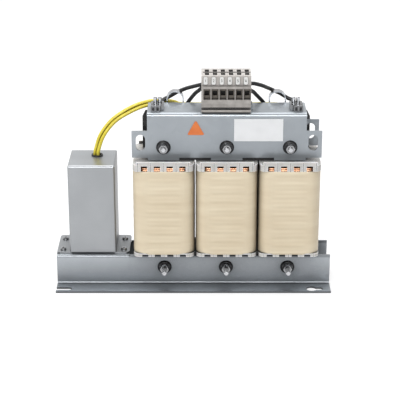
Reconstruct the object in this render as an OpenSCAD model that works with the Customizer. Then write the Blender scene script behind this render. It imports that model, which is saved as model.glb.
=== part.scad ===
// Three-phase power line filter: a laminated choke clamped between sheet rails,
// a capacitor box beside it and a row of rail terminals on top.
// X runs along the rails, Y to the back, Z up. The origin is under the middle of the rails.

/* [Rails] */
// Length of both base rails
rail_length = 280; // [270:1:330]
// Height of the rail webs above the floor
rail_height = 33; // [30:0.5:36]
// Depth of each flange beyond its web
rail_flange = 21.5; // [18:0.5:30]
// Thickness of the rail and frame sheet
sheet = 2; // [1.5:0.1:2.5]
// Inside radius of the sheet bends
bend_radius = 1.5; // [1:0.1:2]
// Inside radius of the rail bends
rail_bend = 0.6; // [0.4:0.1:2]
// Inside radius of the bend between the web and the foot flange of a rail
foot_bend = 1.6; // [0.6:0.1:2.4]
// Depth of the relief that the top of a rail's web has under the coils
coil_relief = 1; // [0.5:0.1:2]
// Width of the fixing slots
slot_width = 6.4; // [5:0.1:8]
// Length of the open slots at the left end
open_slot_length = 16; // [12:0.5:22]
// Slot centreline from the front edge of the flange
slot_edge = 6.9; // [6:0.1:9]
// Diameter of the keyholes at the right end
keyhole_diameter = 11; // [9:0.1:12.5]
// Keyhole centre from the right end of the rail
keyhole_end = 19.3; // [16:0.1:24]
// Length of the narrow neck from the keyhole centre to its far end
keyhole_neck = 11.8; // [9:0.1:13]
// Length of the shelf that carries the capacitor box
shelf_length = 74.4; // [74:0.1:80]
// Depth of the shelf
shelf_depth = 51; // [50:0.5:56]
// Width of the relief notch beside the shelf
relief_width = 0.4; // [0.3:0.1:2.5]

/* [Core] */
// Depth of the lamination stack
stack = 36.5; // [34:0.5:40]
// Width of each core leg
leg_width = 32; // [28:0.5:34]
// Distance between leg centrelines
leg_pitch = 63; // [62:0.5:66]
// Height of each yoke
yoke_height = 32; // [30:0.5:34]
// Height of the core windows
window_height = 98.4; // [92:0.1:104]
// Middle leg from the middle of the rails
core_offset = 33.4; // [30:0.1:36]
// Underside of the core above the floor
core_lift = 4.9; // [4:0.1:7]

/* [Coils] */
// Gap between a core leg and its bobbin
bobbin_gap = 0.3; // [0.2:0.05:0.6]
// Wall of the bobbin tube
bobbin_wall = 1.5; // [1:0.1:2]
// Width of the bobbin flanges
flange_width = 61.2; // [59:0.1:61.4]
// Depth of the bobbin flanges
flange_depth = 69; // [66:0.5:72]
// Corner radius of the flanges
flange_radius = 6; // [4:0.5:8]
// Thickness of the flange plates
flange_plate = 1.2; // [1:0.1:1.6]
// Height of the flange skirts under the plate
skirt_height = 5.6; // [4.8:0.1:7]
// Height of the feet under the lower flange plates
foot_height = 2.5; // [2:0.1:4]
// Height of the rims on the upper flange plates
rim_height = 3; // [2:0.1:3.4]
// Distance from the side of a flange to the end of its rims
rim_inset = 3.8; // [3:0.1:5]
// Thickness of the flange skirts
skirt_wall = 1.5; // [1:0.1:2]
// Width of the windows in the skirts
port_width = 6.4; // [6:0.1:8]
// Distance between window centres
port_pitch = 12.7; // [11:0.1:13.5]
// Width of the grooves in the front and rear of the flanges
flange_groove = 0.9; // [0.5:0.1:1.2]
// Free height left above the copper inside the bobbin
winding_drop = 2.5; // [1:0.1:4]
// Corner radius of the copper winding
winding_radius = 11; // [8:0.5:12]
// How far the insulating wrap stands out beyond the flanges
wrap_proud = 0.15; // [0.05:0.05:0.4]

/* [Upper frame] */
// Length of the upper frame without its tabs
frame_length = 158; // [150:1:164]
// Height of the upper frame webs
frame_height = 46.1; // [42:0.1:50]
// Lower edge of the frame above the core windows
frame_edge = 3; // [2:0.1:5]
// Width of the lugs that reach down over the core legs
lug_width = 31.4; // [24:0.2:32]
// Gap left under the lugs
lug_gap = 0.3; // [0.2:0.1:1]
// Length of each tab beyond the frame
tab_length = 15.6; // [14:0.1:20]
// Height of each tab
tab_height = 27.8; // [26:0.1:32]
// Width of the tab slots
tab_slot_width = 9.4; // [7:0.1:10]
// Height of the tab slots
tab_slot_height = 16.6; // [14:0.1:18]
// Slot centre from the free end of the tab
tab_slot_end = 8.8; // [7:0.1:10]
// Slot centre above the lower edge of the tab
tab_slot_rise = 15.6; // [12:0.1:17]
// Thickness of the insulating board behind the frame
board_thickness = 3; // [2:0.1:4]
// Length of the insulating board
board_length = 170.4; // [164:0.2:176]
// Height of the insulating board
board_height = 39; // [36:0.5:40]
// Lower edge of the board above the core windows
board_edge = 0.6; // [0.3:0.1:2]
// Chamfer of the upper corners of the board
board_chamfer = 6; // [3:0.5:8]
// Width of each lifting bow
bow_width = 17.5; // [15:0.5:21]
// Height of each lifting bow above the plate
bow_height = 11; // [9:0.1:12]
// How far the legs of a lifting bow reach down behind the frame
bow_foot = 7; // [5:0.5:7.5]
// Depth of the lifting bow strap
bow_depth = 8; // [6:0.5:10]
// Thickness of the lifting bow strap
bow_strap = 1.2; // [1:0.1:2]
// Lifting bow centre from the middle leg
bow_offset = 51.8; // [50:0.1:56]

/* [Clamping bolts] */
// Diameter of the through bolts
bolt_diameter = 5; // [4:0.5:6]
// Play between a bolt and the holes it passes
bolt_play = 0.6; // [0.4:0.1:1]
// Upper bolt row above the lower edge of the upper yoke
upper_bolt_rise = 13.9; // [13:0.1:18]
// Lower bolt row above the underside of the lower yoke
lower_bolt_rise = 14.9; // [13:0.1:18]
// Flange diameter of the insulating bushings
bushing_diameter = 14.6; // [13:0.1:17]
// Width of the chamfer around the bushing flanges
bushing_chamfer = 1.3; // [0.8:0.1:1.5]
// Flange thickness of the insulating bushings
bushing_flange = 2; // [1.5:0.1:3]
// Outside diameter of the bushing sleeves
bushing_sleeve = 8; // [7.6:0.1:9]
// Play between a bushing sleeve and the sheet
bushing_play = 0.3; // [0.2:0.1:0.6]
// Outside diameter of the washers
washer_diameter = 11.2; // [10:0.1:11.4]
// Thickness of the washers
washer_thickness = 1.3; // [0.8:0.1:1.6]
// Width of the cone around the dished washers
washer_cone = 1.2; // [0.6:0.1:1.5]
// Size of the nuts across flats
nut_flats = 8; // [7.5:0.5:10]
// Height of the nuts
nut_height = 4; // [3:0.1:5]
// Height of the bolt heads
head_height = 3.5; // [3:0.1:4.5]
// Free bolt end in front of the upper nuts
upper_bolt_end = 2.8; // [2:0.1:8]
// Free bolt end in front of the lower nuts
lower_bolt_end = 10.3; // [5:0.1:13]

/* [Capacitor box] */
// Width of the capacitor box
box_width = 47.6; // [44:0.1:50]
// Depth of the capacitor box
box_depth = 51.4; // [48:0.1:54]
// Height of the capacitor box above the shelf
box_height = 95.1; // [88:0.1:102]
// Thickness of the box sheet
box_sheet = 1.5; // [1:0.1:2]
// Outside radius of the box bends
box_bend = 2.1; // [1.9:0.1:3.2]
// Depth of the bottom lip behind the box front
box_lip = 8; // [5:0.5:8.5]
// Box front from the front face of the rail
box_setback = 3.9; // [3.6:0.1:5]
// Box centreline from the left end of the rails
box_from_end = 37.2; // [37:0.1:38]
// Length of each mounting ear
ear_length = 13.4; // [12.5:0.1:13.4]
// Depth of the mounting ears
ear_depth = 47; // [44:0.5:48]
// Front corner chamfer of the ears
ear_chamfer = 3; // [1:0.1:4]
// Rear corner radius of the ears
ear_radius = 3.5; // [1:0.1:4]
// Screw centre from the end of the ear
ear_screw_end = 6; // [5.5:0.1:7.5]
// Front screw from the front edge of the ear
ear_screw_front = 7.2; // [6:0.1:9]
// Distance between the front and rear ear screws
ear_screw_span = 28; // [25:0.1:30]
// Diameter of the box screws
box_screw = 3; // [2.5:0.1:3.5]
// Head diameter of the box screws
box_screw_head = 6; // [5:0.1:6.4]
// Diameter of the cable grommet
grommet_diameter = 11.6; // [10:0.1:13]
// Bore of the cable grommet
grommet_bore = 8.6; // [8.4:0.1:9]
// Grommet centre to the right of the box centreline
grommet_x = 4.3; // [3.9:0.1:4.7]
// Grommet centre behind the middle of the box
grommet_y = 7.5; // [7.2:0.1:7.8]
// Diameter of the filter capacitors
capacitor_diameter = 20; // [16:0.5:20.5]
// Distance between the two rows of capacitors
capacitor_rows = 19; // [18.5:0.1:19.5]
// Height of the filter capacitors
capacitor_height = 70; // [60:1:70]

/* [Terminals] */
// Width of the terminal rail
din_width = 15; // [14:0.1:16]
// Height of the terminal rail
din_height = 5.5; // [5:0.1:6.5]
// Thickness of the terminal rail
din_sheet = 1; // [0.8:0.1:1.2]
// Length of the terminal rail
din_length = 51; // [50:0.5:56]
// Terminal rail centreline in front of the middle of the plate
din_offset = 4; // [3:0.1:5]
// Width of one terminal
terminal_pitch = 7.9; // [7.6:0.1:8.2]
// Gap between neighbouring terminals
terminal_gap = 0.1; // [0.05:0.05:0.3]
// Length of one terminal from front to back
terminal_depth = 33; // [31:0.1:36]
// Height of the terminals above the plate
terminal_height = 37.5; // [36:0.1:40]
// Width of the wire entries
entry_width = 6.9; // [6:0.1:6.9]
// Lower edge of the wire entries above the plate
entry_floor = 14; // [13:0.1:14.4]
// Height of the wire entries
entry_height = 10.9; // [10:0.1:11]
// Depth of the wire entries
entry_depth = 12; // [11:0.1:12.4]
// Length of the wire clamps in the terminals
clamp_length = 7; // [6.5:0.1:7.4]
// Clear width and height inside the wire clamps
clamp_mouth = 4.7; // [4.3:0.1:5.2]
// Width of the screw shafts in the terminals
screw_well = 4.2; // [3.8:0.1:4.6]
// Depth of the screw heads under the top of the terminals
screw_sink = 9; // [6:0.1:9.5]
// Depth of the groove along the top of the terminals
top_groove = 3.5; // [2:0.1:5]
// Thickness of the terminal end plate
end_plate = 1.5; // [1:0.1:2]
// Width of the marker tags
tag_width = 4; // [3.6:0.1:5]
// Height of the marker tags
tag_height = 7.6; // [7:0.1:9]

/* [Earth clamps] */
// Width of the front jaw of each earth clamp
earth_jaw = 9.2; // [8:0.1:10]
// Depth of the front jaw
earth_jaw_depth = 4.4; // [3:0.1:6]
// Width of the body of each earth clamp
earth_length = 12.8; // [11:0.1:14]
// Depth of the body
earth_depth = 14; // [12:0.1:16]
// Height of each earth clamp
earth_height = 6; // [5:0.1:7]
// Outer side of each earth clamp from the end of the frame
earth_from_end = 3.7; // [3:0.1:6]
// Front of the earth clamps behind the front of the frame
earth_setback = 4.9; // [4:0.1:6]
// Distance between the two screws of a clamp
earth_pitch = 4.6; // [4.5:0.1:5.5]
// Head diameter of the earth screws
earth_screw = 4; // [3:0.1:4.3]
// Height of the earth screws above the clamp
earth_rise = 5; // [3:0.1:6]

/* [Labels] */
// Width of the rating plate
plate_width = 48.6; // [40:0.1:52]
// Height of the rating plate
plate_height = 23; // [18:0.1:24]
// Centre of the rating plate right of the middle leg
plate_x = 31.4; // [30:0.1:32]
// Centre of the rating plate above the frame's lower edge
plate_rise = 28.9; // [27:0.1:30]
// Width of the triangular patch
patch_width = 16.2; // [12:0.1:17]
// Height of the triangular patch
patch_height = 14; // [10:0.1:15]
// Centre of the triangular patch left of the middle leg
patch_x = 30.8; // [29:0.1:32]
// Lower edge of the patch above the frame's lower edge
patch_rise = 23.9; // [23:0.1:25]
// Thickness of the plate and the patch
plate_thickness = 0.4; // [0.2:0.1:0.6]

/* [Leads] */
// Diameter of the yellow capacitor leads
yellow_lead = 3.6; // [3:0.1:3.7]
// Diameter of the black terminal leads
black_lead = 4; // [3.5:0.1:4.2]

/* [Hidden] */
$fn = 48;

// Small steps that keep cutters clear of the faces they cut
cut = 1;
// Clearance of a thread or a seat that must not overlap its partner
seat = 0.05;

// Faces that the pieces share
web_out = stack / 2 + sheet;
flange_out = web_out + rail_flange;
slot_y = flange_out - slot_edge;
shelf_right = -rail_length / 2 + shelf_length;
box_x = -rail_length / 2 + box_from_end;
box_front = -web_out + box_setback;
box_y = box_front + box_depth / 2;
window_z = core_lift + yoke_height;
window_top = window_z + window_height;
frame_z = window_top + frame_edge;
plate_top = frame_z + frame_height;
upper_row = window_top + upper_bolt_rise;
lower_row = core_lift + lower_bolt_rise;
core_width = 2 * leg_pitch + leg_width;
bend_out = bend_radius + sheet;
rail_out = rail_bend + sheet;
foot_out = foot_bend + sheet;
bobbin_in_x = leg_width + 2 * bobbin_gap;
bobbin_in_y = stack + 2 * bobbin_gap;
copper_in_x = bobbin_in_x + 2 * bobbin_wall;
copper_in_y = bobbin_in_y + 2 * bobbin_wall;
copper_x = flange_width - 2 * skirt_wall - 2 * seat;
copper_y = flange_depth - 2 * skirt_wall - 2 * seat;
wrap_x = flange_width + 2 * wrap_proud;
wrap_y = flange_depth + 2 * wrap_proud;
lower_flange_top = window_z + foot_height + flange_plate;
upper_skirt_foot = window_top - flange_plate - skirt_height;
ear_screw_y = [
    box_front + ear_screw_front,
    box_front + ear_screw_front + ear_screw_span
];
ear_x = box_width / 2 + ear_length;
ear_screw_x = [box_x - ear_x + ear_screw_end, box_x + ear_x - ear_screw_end];
earth_y = -web_out + earth_setback;
earth_out = frame_length / 2 - earth_from_end;
earth_screw_x = earth_out - earth_length / 2;
earth_screw_y = earth_y + earth_jaw_depth + earth_depth - 3.2;
din_y = -din_offset;
terminal_x0 = core_offset - 3 * terminal_pitch;
tab_slot_x = frame_length / 2 + tab_length - tab_slot_end;
tab_slot_z = frame_z + tab_slot_rise;
board_y = web_out;
cap_x = capacitor_diameter / 2 + 0.7;
cap_rear = box_depth / 2 - box_sheet - capacitor_diameter / 2 - 1;
cap_front = cap_rear - capacitor_rows;

// Routes of the leads, as points chosen along the real wires
yellow_route_1 = [
    [-113.5, 3.6, 103.1], [-113.5, 3.6, 110], [-107, 10, 117], [-101.5, 16.5, 122.5],
    [-100.9, 17, 129], [-99.5, 17, 136.5], [-94, 17.5, 151.5], [-81.5, 20, 166.5],
    [-62.5, 25, 177.5], [-46.5, 29, 182], [-36, 33, 181.5], [-25, 35, 180.8],
    [-19, 35, 179.8], [-12, 35, 177.8], [15, 34.8, 177.6], [48, 34.8, 177.6],
    [80, 34.8, 177.6], [92, 35.5, 175.6], [100, 37.5, 167], [102.7, 39.2, 155],
    [102.7, 39.2, 144], [102.7, 39, 137], [102.7, 36.6, 132], [102.7, 33, 131.3]
];
yellow_route_2 = [
    [-92, 3.6, 103.1], [-92, 3.6, 112], [-95, 9.5, 118], [-97.5, 14.9, 123],
    [-97.5, 14.9, 129], [-96.5, 15, 135.5], [-91, 15.5, 150], [-79, 18, 164.5],
    [-60.5, 23, 174.5], [-45.5, 27, 178.5], [-38, 30.8, 173.5], [-30, 34, 166],
    [-24.5, 38, 156], [-23.2, 39.2, 146], [-23.2, 39, 137], [-23.2, 36.6, 132],
    [-23.2, 33, 131.3]
];
yellow_route_3 = [
    [-102.8, 22.5, 103.1], [-102.8, 22.5, 110], [-98.8, 20, 117], [-97.5, 18.8, 123],
    [-97.5, 18.8, 129], [-96.5, 19, 135.5], [-91, 19.5, 150], [-79.5, 22, 164],
    [-61.5, 27, 174], [-46, 31, 178.5], [-36, 33.2, 177.4], [-25, 35, 176.9],
    [-12, 35, 173.9], [15, 34.8, 173.7], [29, 35, 171.5], [37.5, 37.3, 163],
    [39.8, 39.2, 152], [39.8, 39.2, 144], [39.8, 39, 137], [39.8, 36.6, 132],
    [39.8, 33, 131.3]
];
black_route_1 = [
    [13.6, 4, 203.9], [13.6, 9, 203.9], [13.5, 13.2, 203.9], [9.2, 17, 203.4],
    [-3.3, 26, 197.8], [-8.4, 29.5, 195.2], [-12.4, 30.7, 193.2], [-16.5, 30.8, 191.4],
    [-23.7, 31, 187.1], [-30.8, 29.3, 183.4], [-38, 26.3, 175.9], [-44.3, 26.8, 167],
    [-48, 31.5, 156], [-48.6, 37.6, 145], [-48.6, 39, 137], [-48.6, 36.6, 132],
    [-48.6, 33, 131.3]
];
black_route_2 = [
    [21.5, 4, 203.9], [21.5, 9, 203.9], [21.4, 13.3, 203.8], [16, 18.5, 201.8],
    [8.8, 19, 199], [4.8, 21, 195.3], [1.7, 23.5, 192], [-3.4, 25.2, 185.2],
    [-6.4, 26, 180.1], [-8.6, 27.2, 173], [-10, 30, 164], [-10.5, 36, 152],
    [-10.5, 39, 144], [-10.5, 39, 137], [-10.5, 36.6, 132], [-10.5, 33, 131.3]
];
black_route_3 = [
    [29.4, 4, 203.9], [29.4, 9, 203.9], [29.3, 13.4, 203.8], [27, 20, 200.5],
    [23, 24.5, 191], [19.5, 26, 180], [16.5, 27.5, 170], [14.6, 32, 158],
    [14.4, 37.6, 146], [14.4, 39, 137], [14.4, 36.6, 132], [14.4, 33, 131.3]
];
black_route_4 = [
    [37.3, 4, 203.9], [37.3, 9, 203.9], [37.4, 13.4, 203.8], [40, 20, 200.5],
    [44.5, 24.5, 191], [48, 26, 180], [50.8, 27.5, 170], [52.3, 32, 158],
    [52.4, 37.6, 146], [52.4, 39, 137], [52.4, 36.6, 132], [52.4, 33, 131.3]
];
black_route_5 = [
    [45.2, 4, 203.9], [45.2, 9, 203.9], [45.4, 13.4, 203.7], [50.5, 17.8, 201],
    [60.2, 18, 195.6], [63.4, 20.5, 191.8], [69.8, 25, 183.9], [73.4, 26.2, 178.5],
    [75, 27.2, 173], [76.6, 30, 164], [77.3, 36, 152], [77.3, 39, 144],
    [77.3, 39, 137], [77.3, 36.6, 132], [77.3, 33, 131.3]
];
black_route_6 = [
    [53.1, 4, 203.9], [53.1, 9, 203.9], [53.4, 13.2, 204], [60, 17, 204.4],
    [69.3, 21.5, 201], [74, 26.5, 197.7], [78.5, 30.3, 194.8], [82.6, 30.8, 192.6],
    [87.8, 30.8, 190.3], [92, 31, 187.7], [96.1, 31, 185], [100.3, 30.5, 183.1],
    [106.5, 28.5, 176], [111.5, 29, 168], [114.6, 32.5, 157], [115.4, 37.6, 145],
    [115.4, 39, 137], [115.4, 36.6, 132], [115.4, 33, 131.3]
];

steel = [0.68, 0.70, 0.72];
black = [0.12, 0.12, 0.13];

function bend_point(a, b, c, d, t) =
    0.5 * (2 * b + (c - a) * t + (2 * a - 5 * b + 4 * c - d) * t * t
        + (3 * b - 3 * c + d - a) * t * t * t);

function route_rings(p, n) = concat(
    [for (i = [0 : len(p) - 2]) for (k = [0 : n - 1])
        bend_point(p[max(i - 1, 0)], p[i], p[i + 1], p[min(i + 2, len(p) - 1)], k / n)],
    [p[len(p) - 1]]
);

function unit(v) = v / norm(v);

function ring_dirs(q, first, last) = [for (i = [0 : len(q) - 1])
    i == 0 ? unit(first) : i == len(q) - 1 ? unit(last) : unit(q[i + 1] - q[i - 1])];

function carried(n, t) = unit(n - (n * t) * t);

// A lead of one diameter along its route, with eight sides
module lead(route, diameter, n = 2) {
    q = route_rings(route, n);
    last = len(route) - 1;
    t = ring_dirs(q, route[1] - route[0], route[last] - route[last - 1]);
    frames = [for (i = 0, v = carried([1, 0.3, 0.1], t[0]); i < len(q);
        i = i + 1, v = i < len(q) ? carried(v, t[i]) : v) v];
    r = diameter / 2;
    points = [for (i = [0 : len(q) - 1]) for (k = [0 : 7])
        q[i] + r * (cos(45 * k) * frames[i] + sin(45 * k) * cross(t[i], frames[i]))];
    m = len(q);
    sides = [for (i = [0 : m - 2]) for (k = [0 : 7])
        [i * 8 + k, i * 8 + (k + 1) % 8, (i + 1) * 8 + (k + 1) % 8, (i + 1) * 8 + k]];
    polyhedron(points, concat(
        [[for (k = [7 : -1 : 0]) k]],
        sides,
        [[for (k = [0 : 7]) (m - 1) * 8 + k]]
    ));
}

// Turns a flat section drawn in Y and Z into a bar along X
module along_x(from, to) {
    translate([from, 0, 0])
        rotate([90, 0, 90])
            linear_extrude(to - from)
                children();
}

module block(x0, x1, y0, y1, z0, z1) {
    translate([x0, y0, z0])
        cube([x1 - x0, y1 - y0, z1 - z0]);
}

// A round bar along Y from y0 to y1
module rod_y(x, y0, y1, z, d) {
    translate([x, y0, z])
        rotate([-90, 0, 0])
            cylinder(h = y1 - y0, d = d);
}

// Quarter of a sheet bend of inside radius r around a centre, open toward one side of Y and Z
module bend_quarter(y, z, sy, sz, r) {
    translate([y, z])
        intersection() {
            difference() {
                circle(r = r + sheet);
                circle(r = r);
            }
            translate([sy > 0 ? 0 : -r - sheet, sz > 0 ? 0 : -r - sheet])
                square(r + sheet);
        }
}

// Section of a rail: web, bend and a flange to the front
module rail_section(top) {
    translate([-web_out, foot_out])
        square([sheet, top - foot_out]);
    bend_quarter(-web_out - foot_bend, foot_out, 1, -1, foot_bend);
    translate([-flange_out, 0])
        square([rail_flange - foot_bend, sheet]);
}

module rail_holes() {
    coils = leg_pitch + flange_width / 2 + relief_width;
    block(core_offset - coils, core_offset + coils, -web_out - cut, -web_out + sheet + cut,
        rail_height - coil_relief, rail_height + cut);
    for (i = [-1 : 1])
        rod_y(core_offset + i * leg_pitch, -web_out - cut, -web_out + sheet + cut,
            lower_row, bushing_sleeve + 2 * bushing_play);
    left = -rail_length / 2;
    block(left - cut, left + open_slot_length - slot_width / 2,
        -slot_y - slot_width / 2, -slot_y + slot_width / 2, -cut, sheet + cut);
    translate([left + open_slot_length - slot_width / 2, -slot_y, -cut])
        cylinder(h = sheet + 2 * cut, d = slot_width);
    key_x = rail_length / 2 - keyhole_end;
    translate([key_x, -slot_y, -cut])
        cylinder(h = sheet + 2 * cut, d = keyhole_diameter);
    neck_end = key_x + keyhole_neck - slot_width / 2;
    block(key_x, neck_end, -slot_y - slot_width / 2, -slot_y + slot_width / 2,
        -cut, sheet + cut);
    translate([neck_end, -slot_y, -cut])
        cylinder(h = sheet + 2 * cut, d = slot_width);
}

module front_rail() {
    color(steel)
    difference() {
        union() {
            along_x(-rail_length / 2, rail_length / 2)
                rail_section(rail_height - rail_out);
            along_x(shelf_right + relief_width, rail_length / 2)
                rail_section(rail_height);
            along_x(-rail_length / 2, shelf_right) {
                bend_quarter(-web_out + rail_out, rail_height - rail_out, -1, 1, rail_bend);
                translate([-web_out + rail_out, rail_height - sheet])
                    square([shelf_depth - rail_out, sheet]);
            }
        }
        rail_holes();
        for (x = ear_screw_x)
            for (y = ear_screw_y)
                translate([x, y, rail_height - sheet - cut])
                    cylinder(h = sheet + 2 * cut, d = box_screw + 2 * seat);
    }
}

module rear_rail() {
    color(steel)
    difference() {
        mirror([0, 1, 0])
            difference() {
                along_x(-rail_length / 2, rail_length / 2)
                    rail_section(rail_height);
                rail_holes();
            }
        block(-rail_length / 2 - cut, shelf_right + relief_width,
            stack / 2 - cut, web_out + cut, rail_height - sheet, rail_height + cut);
        for (x = ear_screw_x)
            block(x - 4, x + 4, stack / 2 - cut, web_out + cut,
                rail_height - sheet - 6, rail_height);
    }
}

module core_e_pack() {
    color([0.22, 0.22, 0.24])
    difference() {
        union() {
            block(core_offset - core_width / 2, core_offset + core_width / 2,
                -stack / 2, stack / 2, core_lift, window_z);
            for (i = [-1 : 1])
                block(core_offset + i * leg_pitch - leg_width / 2,
                    core_offset + i * leg_pitch + leg_width / 2,
                    -stack / 2, stack / 2, window_z - cut, window_top);
        }
        for (i = [-1 : 1])
            rod_y(core_offset + i * leg_pitch, -stack / 2 - cut, stack / 2 + cut,
                lower_row, bolt_diameter + bolt_play);
    }
}

module core_yoke_pack() {
    color([0.22, 0.22, 0.24])
    difference() {
        block(core_offset - core_width / 2, core_offset + core_width / 2,
            -stack / 2, stack / 2, window_top, window_top + yoke_height);
        for (i = [-1 : 1])
            rod_y(core_offset + i * leg_pitch, -stack / 2 - cut, stack / 2 + cut,
                upper_row, bolt_diameter + bolt_play);
    }
}

// An upright block with round vertical edges
module round_block(w, d, z0, z1, r) {
    translate([0, 0, z0])
        linear_extrude(z1 - z0)
            union() {
                square([w - 2 * r, d], center = true);
                square([w, d - 2 * r], center = true);
                for (x = [-1, 1])
                    for (y = [-1, 1])
                        translate([x * (w / 2 - r), y * (d / 2 - r)])
                            circle(r = r);
            }
}

// A flange plate with a skirt below it, open where the wires pass, top at Z 0
module flange(skirt) {
    difference() {
        round_block(flange_width, flange_depth, -flange_plate - skirt, 0, flange_radius);
        round_block(flange_width - 2 * skirt_wall, flange_depth - 2 * skirt_wall,
            -flange_plate - skirt - cut, -flange_plate, flange_radius - skirt_wall);
        block(-bobbin_in_x / 2, bobbin_in_x / 2, -bobbin_in_y / 2, bobbin_in_y / 2,
            -flange_plate - cut, cut);
        for (k = [-1.5 : 1 : 1.5])
            block(k * port_pitch - port_width / 2, k * port_pitch + port_width / 2,
                -flange_depth / 2 - cut, flange_depth / 2 + cut,
                -flange_plate - skirt - cut, -flange_plate);
        for (k = [-2 : 2])
            for (s = [-1, 1])
                block(k * port_pitch - flange_groove / 2, k * port_pitch + flange_groove / 2,
                    s * flange_depth / 2 - 0.4, s * flange_depth / 2 + 0.4,
                    -flange_plate - skirt - cut, cut);
    }
}

module flange_rim(s) {
    half = flange_width / 2 - rim_inset;
    difference() {
        block(-half, half, s > 0 ? flange_depth / 2 - skirt_wall : -flange_depth / 2,
            s > 0 ? flange_depth / 2 : -flange_depth / 2 + skirt_wall,
            -flange_plate / 2, rim_height);
        for (k = [-2 : 2])
            block(k * port_pitch - flange_groove / 2, k * port_pitch + flange_groove / 2,
                s * flange_depth / 2 - 0.4, s * flange_depth / 2 + 0.4,
                -flange_plate, rim_height - 0.8);
    }
}

module bobbin(i) {
    color([0.93, 0.93, 0.9])
    translate([core_offset + i * leg_pitch, 0, 0]) {
        translate([0, 0, window_top]) {
            flange(skirt_height);
            flange_rim(-1);
            flange_rim(1);
        }
        translate([0, 0, lower_flange_top])
            flange(foot_height);
        difference() {
            block(-copper_in_x / 2, copper_in_x / 2, -copper_in_y / 2, copper_in_y / 2,
                window_z, window_top);
            block(-bobbin_in_x / 2, bobbin_in_x / 2, -bobbin_in_y / 2, bobbin_in_y / 2,
                window_z - cut, window_top + cut);
        }
    }
}

module bobbin_left() {
    bobbin(-1);
}

module bobbin_middle() {
    bobbin(0);
}

module bobbin_right() {
    bobbin(1);
}

module winding(i) {
    color([0.80, 0.50, 0.30])
    translate([core_offset + i * leg_pitch, 0, 0])
        difference() {
            round_block(copper_x, copper_y, lower_flange_top + seat,
                window_top - flange_plate - winding_drop, winding_radius);
            block(-copper_in_x / 2 - seat, copper_in_x / 2 + seat,
                -copper_in_y / 2 - seat, copper_in_y / 2 + seat,
                window_z, window_top);
        }
}

module winding_left() {
    winding(-1);
}

module winding_middle() {
    winding(0);
}

module winding_right() {
    winding(1);
}

module wrap(i) {
    color([0.87, 0.80, 0.68])
    translate([core_offset + i * leg_pitch, 0, 0])
        difference() {
            round_block(wrap_x, wrap_y, lower_flange_top + seat, upper_skirt_foot - seat,
                winding_radius + 1.5);
            round_block(copper_x + 2 * seat, copper_y + 2 * seat, window_z, window_top,
                winding_radius);
        }
}

module wrap_left() {
    wrap(-1);
}

module wrap_middle() {
    wrap(0);
}

module wrap_right() {
    wrap(1);
}

// A flat tab with its slot, beside the frame, s = -1 left or 1 right
module frame_tab(s, y) {
    x0 = frame_length / 2 - 1;
    x1 = frame_length / 2 + tab_length;
    sx = s * tab_slot_x;
    r = tab_slot_width / 2;
    half = tab_slot_height / 2 - r;
    difference() {
        block(s > 0 ? x0 : -x1, s > 0 ? x1 : -x0, y, y + sheet, frame_z,
            frame_z + tab_height);
        for (e = [-1, 1])
            rod_y(sx, y - cut, y + sheet + cut, tab_slot_z + e * half, tab_slot_width);
        block(sx - r, sx + r, y - cut, y + sheet + cut, tab_slot_z - half,
            tab_slot_z + half);
    }
}

module upper_frame() {
    color(steel)
    translate([core_offset, 0, 0])
        difference() {
            union() {
                along_x(-frame_length / 2, frame_length / 2) {
                    for (s = [-1, 1]) {
                        translate([s > 0 ? web_out - sheet : -web_out, frame_z])
                            square([sheet, frame_height - bend_out]);
                        bend_quarter(s * (web_out - bend_out), plate_top - bend_out, s, 1,
                            bend_radius);
                    }
                    translate([-web_out + bend_out, plate_top - sheet])
                        square([2 * web_out - 2 * bend_out, sheet]);
                }
                for (i = [-1 : 1])
                    block(i * leg_pitch - lug_width / 2, i * leg_pitch + lug_width / 2,
                        -web_out, -web_out + sheet, window_top + lug_gap, frame_z + cut);
                frame_tab(-1, -web_out);
                frame_tab(1, -web_out);
                frame_tab(1, web_out - sheet);
            }
            for (i = [-1 : 1])
                rod_y(i * leg_pitch, -web_out - cut, web_out + cut, upper_row,
                    bushing_sleeve + 2 * bushing_play);
            for (s = [-1, 1])
                translate([s * din_length / 4, din_y, plate_top - sheet - cut])
                    cylinder(h = sheet + 2 * cut, d = box_screw + 2 * seat);
            for (s = [-1, 1])
                for (k = [-0.5, 0.5])
                    translate([s * earth_screw_x + k * earth_pitch, earth_screw_y,
                        plate_top - sheet - cut])
                        cylinder(h = sheet + 2 * cut, d = earth_screw - 1 + 2 * seat);
        }
}

module insulating_board() {
    color(black)
    difference() {
        translate([core_offset, board_y + board_thickness, window_top + board_edge])
            rotate([90, 0, 0])
                linear_extrude(board_thickness)
                    polygon([
                        [-board_length / 2, 0],
                        [board_length / 2, 0],
                        [board_length / 2, board_height - board_chamfer],
                        [board_length / 2 - board_chamfer / 2, board_height],
                        [-board_length / 2 + board_chamfer / 2, board_height],
                        [-board_length / 2, board_height - board_chamfer]
                    ]);
        for (i = [-1 : 1])
            rod_y(core_offset + i * leg_pitch, board_y - cut, board_y + board_thickness + cut,
                upper_row, bushing_sleeve + 2 * bushing_play);
    }
}

module lifting_bow(s) {
    r = bow_width / 2;
    color([0.78, 0.79, 0.8])
    translate([core_offset + s * bow_offset, web_out + bow_depth, plate_top])
        rotate([90, 0, 0])
            linear_extrude(bow_depth) {
                translate([0, bow_height - r])
                    difference() {
                        circle(r = r);
                        circle(r = r - bow_strap);
                        translate([-r - cut, -r - cut])
                            square([bow_width + 2 * cut, r + cut]);
                    }
                for (e = [-1, 1])
                    translate([e * (r - bow_strap / 2) - bow_strap / 2, -bow_foot])
                        square([bow_strap, bow_height - r + bow_foot]);
            }
}

module lifting_bow_left() {
    lifting_bow(-1);
}

module lifting_bow_right() {
    lifting_bow(1);
}

// Outside of the clamped stack behind each bolt row
upper_back = web_out + board_thickness;
lower_back = web_out;
stack_up = bushing_flange + washer_thickness;

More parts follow.
